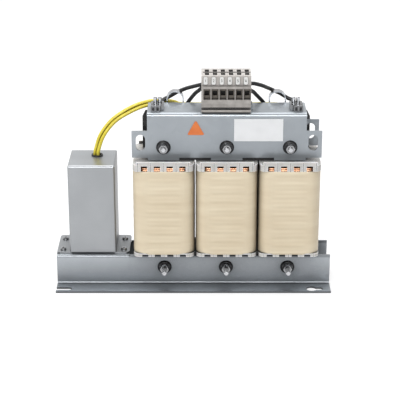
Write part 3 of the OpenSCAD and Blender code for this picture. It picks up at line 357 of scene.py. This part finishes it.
# Painted light and shade: the rails' copy of the zinc is coloured lighter than the frame's,
# for the light that falls on each, and the two take painted shade of different reach and
# depth.
rail_sheet = galvanised("galvanised_rail", (0.44, 0.47, 0.50), (0.51, 0.54, 0.57), 0.9,
                        reach=0.038, deepest=0.2, bend_shade=0.62)
frame_sheet = galvanised("galvanised_frame", (0.32, 0.347, 0.373), (0.38, 0.408, 0.435),
                         0.75, reach=0.010, deepest=0.72)
for node in ("front_rail", "rear_rail"):
    dress(node, rail_sheet, SHEET_EDGE)
for node in ("upper_frame", "terminal_rail"):
    dress(node, frame_sheet, SHEET_EDGE)


# The core: a three-legged pack of varnished electrical sheet with a separate yoke on top.
# Its edges show the stacked sheets as fine lines, one behind the other.
LINES_PER_METRE = 310.0


def stacked_sheets():
    f = Finish("varnished_laminations", (0.07, 0.072, 0.078), 0.42, 0.6)
    lines = f.t.nodes.new("ShaderNodeTexWave")
    lines.wave_type = "BANDS"
    lines.bands_direction = "Y"
    lines.inputs["Scale"].default_value = LINES_PER_METRE
    lines.inputs["Distortion"].default_value = 0.6
    lines.inputs["Detail"].default_value = 1.0
    f.t.links.new(f.place, lines.inputs["Vector"])
    stain = f.cloud(0.02, 4.0)
    f.shades(f.mixed(stain, lines.outputs["Fac"], 0.5), (0.018, 0.018, 0.019),
             (0.07, 0.069, 0.07), 0.3, 1.0)
    f.relief(lines.outputs["Fac"], 0.0001, 0.8)
    return f.m


lamination_stack = stacked_sheets()
for node in ("core_e_pack", "core_yoke_pack"):
    dress(node, lamination_stack, 0.0003)


# The bobbins: moulded natural nylon, one on each leg. The skirt of the upper flange has a
# row of notches over the copper, and the lower flange stands on short feet.
def moulded_nylon():
    f = Finish("natural_nylon", (0.74, 0.73, 0.69), 0.42)
    f.shades(f.cloud(0.018, 3.0), (0.56, 0.545, 0.52), (0.68, 0.665, 0.64))
    # Painted light on the thin edges.
    f.paint_edge_light(0.0009, (0.95, 0.94, 0.92))
    # Painted shade in corners, down to nearly black.
    f.paint_corner_shade(0.02, 0.02, 0.42, 0.78)
    f.gloss(f.cloud(0.003, 2.0), 0.34, 0.5)
    f.relief(f.cloud(0.0012, 2.0), 0.00003, 0.4)
    f.skin.inputs["Subsurface Weight"].default_value = 0.12
    f.skin.inputs["Subsurface Radius"].default_value = (0.004, 0.003, 0.002)
    return f.m


nylon = moulded_nylon()
for node in ("bobbin_left", "bobbin_middle", "bobbin_right"):
    dress(node, nylon, 0.0003)


# The windings: enamelled copper wire laid round each bobbin in close turns, layer on layer.
# Each turn is a rounded band, and the top shows the ends of the layers.
TURN_PITCH = 0.0022
TURN_CORNER = 0.0125
TURN_GROOVE = 0.00035
LAYER_GROOVE = 0.0004
LAYERS = 4
TIGHTEST = 0.0005


def enamelled_copper():
    f = Finish("enamelled_copper", (0.66, 0.33, 0.17), 0.3, 0.85)
    f.shades(f.cloud(0.006, 4.0), (0.62, 0.29, 0.155), (0.84, 0.47, 0.29))
    # Painted shade in the corners between turns and layers.
    f.paint_corner_shade(0.003, 0.3, 0.1, 0.7)
    f.gloss(f.cloud(0.002, 2.0), 0.2, 0.36)
    f.skin.inputs["Coat Weight"].default_value = 0.4
    f.skin.inputs["Coat Roughness"].default_value = 0.15
    return f.m


def rounded_loop(wide, deep, radius, per_corner):
    """Points round a rectangle with round corners, centred on the origin, with the
    outward direction at each."""
    loop = []
    for cx, cy, start in ((1, 1, 0), (-1, 1, 90), (-1, -1, 180), (1, -1, 270)):
        for k in range(per_corner + 1):
            a = math.radians(start + 90.0 * k / per_corner)
            out = Vector((math.cos(a), math.sin(a), 0.0))
            mid = Vector((cx * (wide / 2 - radius), cy * (deep / 2 - radius), 0.0))
            loop.append((mid + out * radius, out))
    return loop


def skin_rings(bm, rings):
    """Joins closed rings of points, all of the same length, with four-sided faces."""
    rows = [[bm.verts.new(p) for p in ring] for ring in rings]
    n = len(rows[0])
    for a, b in zip(rows, rows[1:]):
        for i in range(n):
            j = (i + 1) % n
            bm.faces.new((a[i], a[j], b[j], b[i]))


def finished(bm, name, material, smooth=True):
    """Turns a built mesh into a piece of the scene that rides with the part."""
    bmesh.ops.recalc_face_normals(bm, faces=bm.faces)
    mesh = bpy.data.meshes.new(name)
    bm.to_mesh(mesh)
    bm.free()
    for p in mesh.polygons:
        p.use_smooth = smooth
    mesh.materials.append(material)
    o = bpy.data.objects.new(name, mesh)
    scene.collection.objects.link(o)
    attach(o, "root")
    return o


def winding_profile(foot, top):
    """Inset and height of the outside of a winding, from its foot up its side and inward
    over the layers at its top."""
    steps = 6
    turns = int((top - foot) / TURN_PITCH)
    pitch = (top - foot) / turns
    profile = []
    for i in range(turns * steps + 1):
        dip = 1 - abs(math.sin(math.pi * i / steps))
        profile.append((TURN_GROOVE * dip, foot + pitch * i / steps))
    for i in range(1, LAYERS * steps + 1):
        dip = 1 - abs(math.sin(math.pi * i / steps))
        profile.append((TURN_PITCH * i / steps, top - LAYER_GROOVE * dip))
    return profile


def turn_at(centre, wide, deep, inset, z):
    """The line of one turn, drawn in from the outside of the winding by inset."""
    corner = max(TURN_CORNER - inset, TIGHTEST)
    loop = rounded_loop(wide - 2 * inset, deep - 2 * inset, corner, 8)
    return [Vector((centre.x, centre.y, z)) + p for p, _ in loop]


copper = enamelled_copper()
for side in ("left", "middle", "right"):
    lo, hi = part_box("winding_" + side)
    centre = (lo + hi) / 2
    wide, deep = hi.x - lo.x, hi.y - lo.y
    rings = [turn_at(centre, wide, deep, inset, z)
             for inset, z in winding_profile(lo.z, hi.z)]
    rings.append(turn_at(centre, wide, deep, LAYERS * TURN_PITCH, lo.z))
    rings.append([Vector(p) for p in rings[0]])
    bm = bmesh.new()
    skin_rings(bm, rings)
    bmesh.ops.remove_doubles(bm, verts=bm.verts, dist=0.00001)
    turns = finished(bm, "copper_turns_" + side, copper)
    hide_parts("winding_" + side)


# The wraps: each coil is bandaged with wide glossy insulating tape, drawn tight over the
# turns and the edge of the lower flange, so that the turns show through as level ridges.
WRAP_WALL = 0.00165
WRAP_CORNER = 0.0125
WRAP_ROWS = 110
RIDGE_PITCH = 0.0108
RIDGE_HEIGHT = 0.00016
FINE_PITCH = 0.0047
FINE_HEIGHT = 0.00009
TAPE_PROUD = 0.0002
TAPE_LAP = 0.0012
LAP_ROWS = 4
TAPE_THICKNESS = 0.00012
HEM = 0.0012
HEM_TUCK = 0.0004
OFF_THE_COIL = 0.00004


def insulating_tape():
    f = Finish("insulating_tape", (0.74, 0.62, 0.44), 0.46)
    level = f.cloud(1.0, 3.0, f.stretched(14.0, 14.0, 140.0))
    blotch = f.cloud(0.03, 3.0)
    f.shades(f.mixed(level, blotch, 0.5), (0.76, 0.64, 0.455), (0.83, 0.72, 0.53),
             0.55, 0.95)
    # Painted shade in corners and in the narrow gaps between the coils.
    f.paint_corner_shade(0.012, 0.22)
    f.gloss(blotch, 0.36, 0.52)
    f.relief(level, 0.0004, 0.5)
    f.skin.inputs["Coat Weight"].default_value = 0.12
    f.skin.inputs["Coat Roughness"].default_value = 0.3
    return f.m


def taut_loop(wide, deep):
    """Points round the bandage, close together on the flats, with the outward direction and
    how far in from the corners each lies, from 0 to 1."""
    corners = rounded_loop(wide, deep, WRAP_CORNER, 14)
    loop = []
    for i, (p, out) in enumerate(corners):
        q, out_q = corners[(i + 1) % len(corners)]
        loop.append((p, out, 0.0))
        if (out_q - out).length < 0.001:
            for k in range(1, 16):
                loop.append((p + (q - p) * k / 16, out, min(1.0, min(k, 16 - k) / 1.5)))
    return loop


def ridge(z, side, seed):
    """How far the turns beneath push the tape out at a height."""
    r = RIDGE_HEIGHT * math.sin(2 * math.pi * z / RIDGE_PITCH + seed)
    fine = math.sin(2 * math.pi * z / FINE_PITCH + 2.3 * seed + 3.0 * side)
    return r + FINE_HEIGHT * fine


tape = insulating_tape()
random.seed(7)
for side in ("left", "middle", "right"):
    lo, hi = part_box("wrap_" + side)
    seed = random.uniform(0.0, 6.0)
    centre = (lo + hi) / 2
    wide, deep = hi.x - lo.x, hi.y - lo.y
    flat = taut_loop(wide, deep)
    rings = []
    for i in range(-LAP_ROWS, WRAP_ROWS + 1):
        row = []
        for p, out, middle in flat:
            if i < 0:
                z = lo.z + TAPE_LAP * middle * i / LAP_ROWS
                push = 0.0
            else:
                z = lo.z + (hi.z - lo.z) * i / WRAP_ROWS
                push = middle * (TAPE_PROUD + ridge(z, math.atan2(out.y, out.x), seed))
                push -= HEM_TUCK * max(0.0, 1.0 - (hi.z - z) / HEM) ** 2
            row.append(Vector((centre.x, centre.y, z)) + p + out * (OFF_THE_COIL + push))
        rings.append(row)
    inside = ((hi.z, WRAP_WALL, 0.0), (lo.z, WRAP_WALL, 0.0), (lo.z, TAPE_THICKNESS, 0.0),
              (lo.z, TAPE_THICKNESS, TAPE_LAP))
    for height, wall, lap in inside:
        rings.append([Vector((centre.x, centre.y, height - lap * middle)) + p - out * wall
                      for p, out, middle in flat])
    bm = bmesh.new()
    skin_rings(bm, rings + [[Vector(p) for p in rings[0]]])
    bmesh.ops.remove_doubles(bm, verts=bm.verts, dist=0.00001)
    bandage = finished(bm, "tape_wrap_" + side, tape)
    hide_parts("wrap_" + side)


# The board behind the upper frame and the shouldered bushings are black insulation: they
# keep the frame and the through bolts apart from the core.
def black_moulding():
    f = Finish("black_insulation", (0.022, 0.022, 0.024), 0.45)
    f.shades(f.cloud(0.004, 4.0), (0.006, 0.006, 0.007), (0.014, 0.014, 0.015))
    f.gloss(f.cloud(0.006, 3.0), 0.16, 0.28)
    f.relief(f.cloud(0.0008, 2.0), 0.00003, 0.5)
    return f.m


insulation = black_moulding()
dress("insulating_board", insulation, 0.0003)
dress("insulating_bushings", insulation, 0.0003)


# The lifting bows: two straps of bright steel, bent over a round bar. They stand upright
# with their legs against the back of the frame.
def bright_zinc(name, dark, light, rough):
    f = Finish(name, light, rough, 1.0)
    haze = f.cloud(0.004, 4.0)
    f.shades(haze, dark, light)
    # Painted shade in corners.
    f.paint_corner_shade(0.003, 0.06, 0.1, 0.9)
    f.gloss(haze, rough - 0.06, rough + 0.1)
    f.relief(f.cloud(0.0009, 2.0), 0.00002, 0.4)
    return f.m


bright_steel = bright_zinc("bright_zinc_steel", (0.28, 0.285, 0.295),
                           (0.46, 0.465, 0.48), 0.18)
for node in ("lifting_bow_left", "lifting_bow_right"):
    dress(node, bright_steel, 0.0002)


# The clamping set: long through bolts with cut threads, nuts and coned washers. Each row
# ties one yoke between the two sheets. Bolts and nuts are zinc plated. The nuts' copy of
# the zinc is painted darker than the bolts', and the washers are painted dark, for the
# shade on them.
plated_steel = bright_zinc("zinc_plated_steel", (0.50, 0.51, 0.53), (0.66, 0.67, 0.69), 0.2)
# A darker copy of the plated zinc: painted shade on the nuts and the box screws.
nut_steel = bright_zinc("nut_zinc_steel", (0.33, 0.335, 0.345), (0.46, 0.465, 0.475), 0.2)
# Painted shade: the washers are coloured dark, for the dark reflection on their upper
# halves.
washer_steel_painted_dark = bright_zinc("washer_steel_painted_dark", (0.08, 0.083, 0.088), (0.14, 0.144, 0.15), 0.24)
THREAD = 0.0008
THREAD_DEPTH = 0.00036
THREAD_END = -0.0201
BOLT_RADIUS = 0.0025
BOLT_MIDDLE = 0.0334
BOLT_SPACING = 0.063
HEAD_HEIGHT = 0.0035
HEAD_FLATS = 0.008


def cut_thread(bm, x, z, tip):
    """A cut thread from the tip back to the plain shank, with a chamfered end."""
    around = 28
    steps = 8
    length = THREAD_END - tip
    rows = int(length / THREAD * steps)
    rings = [[Vector((x, tip, z))] * around]
    for i in range(rows + 1):
        y = length * i / rows
        lead_in = min(1.0, 0.86 + y / 0.004)
        ring = []
        for k in range(around):
            a = 2 * math.pi * k / around
            turn = (y / THREAD - k / around) % 1.0
            depth = THREAD_DEPTH * (1.0 - abs(2.0 * turn - 1.0))
            r = (BOLT_RADIUS - depth) * lead_in
            ring.append(Vector((x + r * math.cos(a), tip + y, z + r * math.sin(a))))
        rings.append(ring)
    rings.append([Vector((x, THREAD_END, z))] * around)
    skin_rings(bm, rings)


def plain_shank(bm, x, z, head):
    """The smooth part of a bolt, from the thread back to the head."""
    rings = []
    for y in (THREAD_END, head):
        rings.append([Vector((x + BOLT_RADIUS * math.cos(math.radians(15 * k)), y,
                              z + BOLT_RADIUS * math.sin(math.radians(15 * k))))
                      for k in range(24)])
    skin_rings(bm, rings)


def hex_head(bm, x, z, y0, y1):
    """A hexagon bar along Y whose far corners are turned off to a cone."""
    turned = HEAD_FLATS / 2 * 0.97
    drop = (HEAD_FLATS / math.sqrt(3) - turned) * 0.45
    rings = [[Vector((x, y0, z))] * 36]
    for y, cone in ((y0, False), (y1 - drop, False), (y1, True)):
        ring = []
        for k in range(36):
            a = math.radians(10 * k)
            local = a % math.radians(60) - math.radians(30)
            r = turned if cone else HEAD_FLATS / 2 / math.cos(local)
            ring.append(Vector((x + r * math.cos(a), y, z + r * math.sin(a))))
        rings.append(ring)
    rings.append([Vector((x, y1, z))] * 36)
    skin_rings(bm, rings)


for node in ("upper_bolts", "lower_bolts"):
    lo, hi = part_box(node)
    mid_z = (lo.z + hi.z) / 2
    bm = bmesh.new()
    for i in (-1, 0, 1):
        x = BOLT_MIDDLE + BOLT_SPACING * i
        cut_thread(bm, x, mid_z, lo.y)
        plain_shank(bm, x, mid_z, hi.y - HEAD_HEIGHT)
        hex_head(bm, x, mid_z, hi.y - HEAD_HEIGHT, hi.y)
    bmesh.ops.remove_doubles(bm, verts=bm.verts, dist=0.000005)
    bolts = finished(bm, "threaded_" + node, plated_steel, smooth=False)
    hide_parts(node)
dress("bolt_nuts", nut_steel, 0.00015)
dress("bolt_washers", washer_steel_painted_dark, 0.00015)


# The earth clamps: two small blocks of steel on top of the frame, with jaws at the
# front, coloured dark as painted shade. Each is held down by two slotted screws.
clamp_steel = bright_zinc("clamp_steel", (0.15, 0.153, 0.158), (0.28, 0.285, 0.295), 0.2)
dress("earth_clamps", clamp_steel, 0.0002)
dress("earth_screws", plated_steel, 0.0002)


# The capacitor box: one blank of satin steel sheet folded into a can, with an ear on each
# side for its screws and a rubber grommet in the top. Three drawn cans stand inside it.
def box_steel():
    f = Finish("box_sheet", (0.42, 0.435, 0.45), 0.34, 0.92)
    grain = f.cloud(1.0, 2.0, f.stretched(60.0, 60.0, 1500.0))
    haze = f.cloud(0.03, 3.0)
    f.shades(f.mixed(haze, grain, 0.25), (0.36, 0.374, 0.388), (0.41, 0.424, 0.438),
             0.35, 0.85)
    f.gloss(f.mixed(haze, grain, 0.5), 0.26, 0.42)
    f.relief(grain, 0.00002, 0.3)
    # Painted shade in corners and along the box's foot.
    f.paint_corner_shade(0.03, 0.5, 0.15)
    return f.m


dress("capacitor_box", box_steel(), 0.0002)
dress("box_screws", nut_steel, 0.00015)


def grommet_rubber():
    f = Finish("grommet_rubber", (0.018, 0.018, 0.018), 0.55)
    f.shades(f.cloud(0.003, 3.0), (0.012, 0.012, 0.012), (0.03, 0.03, 0.03))
    f.relief(f.cloud(0.0006, 2.0), 0.00003, 0.5)
    return f.m


dress("cable_grommet", grommet_rubber(), 0.0004)


def drawn_can():
    f = Finish("capacitor_can", (0.62, 0.63, 0.64), 0.3, 1.0)
    f.gloss(f.cloud(0.01, 3.0), 0.22, 0.4)
    f.shades(f.cloud(0.02, 3.0), (0.56, 0.57, 0.58), (0.68, 0.69, 0.70))
    return f.m


dress("capacitors", drawn_can(), 0.0005)


# The terminals: six clamps in grey polyamide side by side on the small rail, closed by an
# end plate at the left. Steel cages grip the wires, and screws work them from above; both
# are coloured dark brown as painted shade in their wells. Two plated screws hold the rail
# to the frame.
def grey_polyamide(tag_foot):
    f = Finish("grey_polyamide", (0.47, 0.44, 0.405), 0.48)
    # Painted light: the body above the foot of the tags is coloured lighter, for the light
    # on that part.
    upper = f.between(f.height(), 0.0, 0.34, tag_foot - 0.0016, tag_foot - 0.0006)
    f.shades(f.mixed(f.cloud(0.006, 4.0), upper, 1.0), (0.34, 0.316, 0.293),
             (0.56, 0.53, 0.50), 0.3, 1.3)
    # Painted shade in the wells and corners.
    f.paint_corner_shade(0.010, 0.05, 0.42, 0.8)
    f.gloss(f.cloud(0.002, 2.0), 0.4, 0.56)
    f.relief(f.cloud(0.0007, 2.0), 0.00003, 0.5)
    return f.m


polyamide = grey_polyamide(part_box("marker_tags")[0].z)
for node in ["terminal_%d" % (i + 1) for i in range(6)] + ["terminal_end_plate"]:
    dress(node, polyamide, 0.00025)


def cage_steel():
    # Painted shade: the cages are coloured dark brown for the shade in their wells.
    f = Finish("cage_steel", (0.20, 0.175, 0.15), 0.5, 0.3)
    f.shades(f.cloud(0.003, 3.0), (0.29, 0.255, 0.215), (0.37, 0.33, 0.28))
    f.paint_corner_shade(0.008, 0.1, 0.1, 0.8)
    f.gloss(f.cloud(0.002, 2.0), 0.42, 0.6)
    return f.m


# Painted shade: the clamp screws are coloured near black-brown for the shade in their
# wells.
well_shade_steel = bright_zinc("well_shade_steel", (0.05, 0.036, 0.03), (0.09, 0.065, 0.055), 0.4)
dress("wire_clamps", cage_steel(), 0.0002)
dress("clamp_screws", well_shade_steel, 0.0002)
dress("rail_screws", plated_steel, 0.0002)


# The marker tags: white slips clipped to the front of each terminal, numbered from the
# left in plain black figures.
TAG_PITCH = 0.0079
FIRST_FIGURE = 0.002
FIGURE_HEIGHT = 0.0038
INK_THICKNESS = 0.00003
OFF_THE_SLIP = 0.00004


def white_slip():
    f = Finish("white_slip", (0.83, 0.83, 0.81), 0.4)
    f.shades(f.cloud(0.004, 3.0), (0.79, 0.79, 0.77), (0.87, 0.87, 0.85))
    f.relief(f.cloud(0.0008, 2.0), 0.00002, 0.4)
    return f.m


def black_ink():
    f = Finish("black_ink", (0.03, 0.03, 0.032), 0.5)
    f.shades(f.cloud(0.001, 3.0), (0.02, 0.02, 0.022), (0.05, 0.05, 0.052))
    return f.m


dress("marker_tags", white_slip(), 0.0002)
ink = black_ink()
lo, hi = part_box("marker_tags")
for i in range(6):
    curve = bpy.data.curves.new("figure_%d" % (i + 1), "FONT")
    curve.body = str(i + 1)
    curve.size = FIGURE_HEIGHT
    curve.align_x = "CENTER"
    curve.align_y = "CENTER"
    curve.extrude = INK_THICKNESS
    o = bpy.data.objects.new("tag_figure_%d" % (i + 1), curve)
    o.location = (lo.x + FIRST_FIGURE + TAG_PITCH * i, lo.y - OFF_THE_SLIP,
                  (lo.z + hi.z) / 2)
    o.rotation_euler = (math.radians(90), 0, 0)
    scene.collection.objects.link(o)
    curve.materials.append(ink)
    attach(o, "root")


# The rating plate and the patch: self-adhesive film, pressed on the front of the upper
# frame. The plate is pale, the triangular patch is orange, and both are bare.
def film(name, dark, light):
    f = Finish(name, light, 0.35)
    f.shades(f.cloud(0.012, 3.0), dark, light)
    f.gloss(f.cloud(0.01, 2.0), 0.28, 0.42)
    return f.m


pale_film = film("pale_film", (0.85, 0.86, 0.87), (0.90, 0.91, 0.92))
orange_film = film("orange_film", (0.74, 0.175, 0.04), (0.82, 0.225, 0.055))
dress("rating_plate", pale_film, 0.0001)
dress("triangle_patch", orange_film, 0.0001)


# The leads: soft flexible wires. Three yellow ones join the capacitors to the coils, and
# six black ones run from the backs of the terminals down to the windows of the bobbins.
def soft_cable(name, dark, light, rough):
    f = Finish(name, light, rough)
    f.shades(f.cloud(0.01, 3.0), dark, light)
    # Painted shade where the cables lie close to each other and to other parts.
    f.paint_corner_shade(0.007, 0.25, 0.3, 0.95)
    f.gloss(f.cloud(0.005, 3.0), rough - 0.06, rough + 0.08)
    f.relief(f.cloud(0.0015, 2.0), 0.00004, 0.4)
    return f.m


yellow = soft_cable("yellow_cable", (0.70, 0.57, 0.04), (0.84, 0.71, 0.07), 0.34)
black = soft_cable("black_cable", (0.014, 0.014, 0.015), (0.03, 0.03, 0.032), 0.38)
YELLOW_RADIUS = 0.0018
BLACK_RADIUS = 0.002
LEADS = {
    "yellow_lead_1": [
        (-113.5, 3.6, 103.1), (-113.5, 3.6, 110), (-107, 10, 117), (-101.5, 16.5, 122.5),
        (-100.9, 17, 129), (-99.5, 17, 136.5), (-94, 17.5, 151.5), (-81.5, 20, 166.5),
        (-62.5, 25, 177.5), (-46.5, 29, 182), (-36, 33, 181.5), (-25, 35, 180.8),
        (-19, 35, 179.8), (-12, 35, 177.8), (15, 34.8, 177.6), (48, 34.8, 177.6),
        (80, 34.8, 177.6), (92, 35.5, 175.6), (100, 37.5, 167), (102.7, 39.2, 155),
        (102.7, 39.2, 144), (102.7, 39, 137), (102.7, 36.6, 132), (102.7, 33, 131.3)],
    "yellow_lead_2": [
        (-92, 3.6, 103.1), (-92, 3.6, 112), (-95, 9.5, 118), (-97.5, 14.9, 123),
        (-97.5, 14.9, 129), (-96.5, 15, 135.5), (-91, 15.5, 150), (-79, 18, 164.5),
        (-60.5, 23, 174.5), (-45.5, 27, 178.5), (-38, 30.8, 173.5), (-30, 34, 166),
        (-24.5, 38, 156), (-23.2, 39.2, 146), (-23.2, 39, 137), (-23.2, 36.6, 132),
        (-23.2, 33, 131.3)],
    "yellow_lead_3": [
        (-102.8, 22.5, 103.1), (-102.8, 22.5, 110), (-98.8, 20, 117), (-97.5, 18.8, 123),
        (-97.5, 18.8, 129), (-96.5, 19, 135.5), (-91, 19.5, 150), (-79.5, 22, 164),
        (-61.5, 27, 174), (-46, 31, 178.5), (-36, 33.2, 177.4), (-25, 35, 176.9),
        (-12, 35, 173.9), (15, 34.8, 173.7), (29, 35, 171.5), (37.5, 37.3, 163),
        (39.8, 39.2, 152), (39.8, 39.2, 144), (39.8, 39, 137), (39.8, 36.6, 132),
        (39.8, 33, 131.3)],
    "black_lead_1": [
        (13.6, 4, 203.9), (13.6, 9, 203.9), (13.5, 13.2, 203.9), (9.2, 17, 203.4),
        (-3.3, 26, 197.8), (-8.4, 29.5, 195.2), (-12.4, 30.7, 193.2), (-16.5, 30.8, 191.4),
        (-23.7, 31, 187.1), (-30.8, 29.3, 183.4), (-38, 26.3, 175.9), (-44.3, 26.8, 167),
        (-48, 31.5, 156), (-48.6, 37.6, 145), (-48.6, 39, 137), (-48.6, 36.6, 132),
        (-48.6, 33, 131.3)],
    "black_lead_2": [
        (21.5, 4, 203.9), (21.5, 9, 203.9), (21.4, 13.3, 203.8), (16, 18.5, 201.8),
        (8.8, 19, 199), (4.8, 21, 195.3), (1.7, 23.5, 192), (-3.4, 25.2, 185.2),
        (-6.4, 26, 180.1), (-8.6, 27.2, 173), (-10, 30, 164), (-10.5, 36, 152),
        (-10.5, 39, 144), (-10.5, 39, 137), (-10.5, 36.6, 132), (-10.5, 33, 131.3)],
    "black_lead_3": [
        (29.4, 4, 203.9), (29.4, 9, 203.9), (29.3, 13.4, 203.8), (27, 20, 200.5),
        (23, 24.5, 191), (19.5, 26, 180), (16.5, 27.5, 170), (14.6, 32, 158),
        (14.4, 37.6, 146), (14.4, 39, 137), (14.4, 36.6, 132), (14.4, 33, 131.3)],
    "black_lead_4": [
        (37.3, 4, 203.9), (37.3, 9, 203.9), (37.4, 13.4, 203.8), (40, 20, 200.5),
        (44.5, 24.5, 191), (48, 26, 180), (50.8, 27.5, 170), (52.3, 32, 158),
        (52.4, 37.6, 146), (52.4, 39, 137), (52.4, 36.6, 132), (52.4, 33, 131.3)],
    "black_lead_5": [
        (45.2, 4, 203.9), (45.2, 9, 203.9), (45.4, 13.4, 203.7), (50.5, 17.8, 201),
        (60.2, 18, 195.6), (63.4, 20.5, 191.8), (69.8, 25, 183.9), (73.4, 26.2, 178.5),
        (75, 27.2, 173), (76.6, 30, 164), (77.3, 36, 152), (77.3, 39, 144),
        (77.3, 39, 137), (77.3, 36.6, 132), (77.3, 33, 131.3)],
    "black_lead_6": [
        (53.1, 4, 203.9), (53.1, 9, 203.9), (53.4, 13.2, 204), (60, 17, 204.4),
        (69.3, 21.5, 201), (74, 26.5, 197.7), (78.5, 30.3, 194.8), (82.6, 30.8, 192.6),
        (87.8, 30.8, 190.3), (92, 31, 187.7), (96.1, 31, 185), (100.3, 30.5, 183.1),
        (106.5, 28.5, 176), (111.5, 29, 168), (114.6, 32.5, 157), (115.4, 37.6, 145),
        (115.4, 39, 137), (115.4, 36.6, 132), (115.4, 33, 131.3)],
}


def smooth_route(points, steps):
    """The route as a smooth line through its points, in metres."""
    p = [Vector(q) / 1000 for q in points]
    line = []
    for i in range(len(p) - 1):
        a, b, c, d = p[max(i - 1, 0)], p[i], p[i + 1], p[min(i + 2, len(p) - 1)]
        for k in range(steps):
            t = k / steps
            line.append(0.5 * (2 * b + (c - a) * t + (2 * a - 5 * b + 4 * c - d) * t * t
                               + (3 * b - 3 * c + d - a) * t ** 3))
    line.append(p[-1])
    return line


def wire_along(name, points, radius, material):
    """A round wire along the route, closed at both ends."""
    line = smooth_route(points, 6)
    side = Vector((1.0, 0.3, 0.1))
    rings = []
    for i, q in enumerate(line):
        t = (line[min(i + 1, len(line) - 1)] - line[max(i - 1, 0)]).normalized()
        side = (side - side.dot(t) * t).normalized()
        up = t.cross(side)
        rings.append([q + radius * (math.cos(a) * side + math.sin(a) * up)
                      for a in [math.radians(22.5 * k) for k in range(16)]])
    rings.insert(0, [Vector(line[0])] * 16)
    rings.append([Vector(line[-1])] * 16)
    bm = bmesh.new()
    skin_rings(bm, rings)
    bmesh.ops.remove_doubles(bm, verts=bm.verts, dist=0.000005)
    o = finished(bm, name, material)
    return o


for node, points in LEADS.items():
    if node.startswith("yellow"):
        wire = wire_along("soft_" + node, points, YELLOW_RADIUS, yellow)
    else:
        wire = wire_along("soft_" + node, points, BLACK_RADIUS, black)
    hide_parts(node)
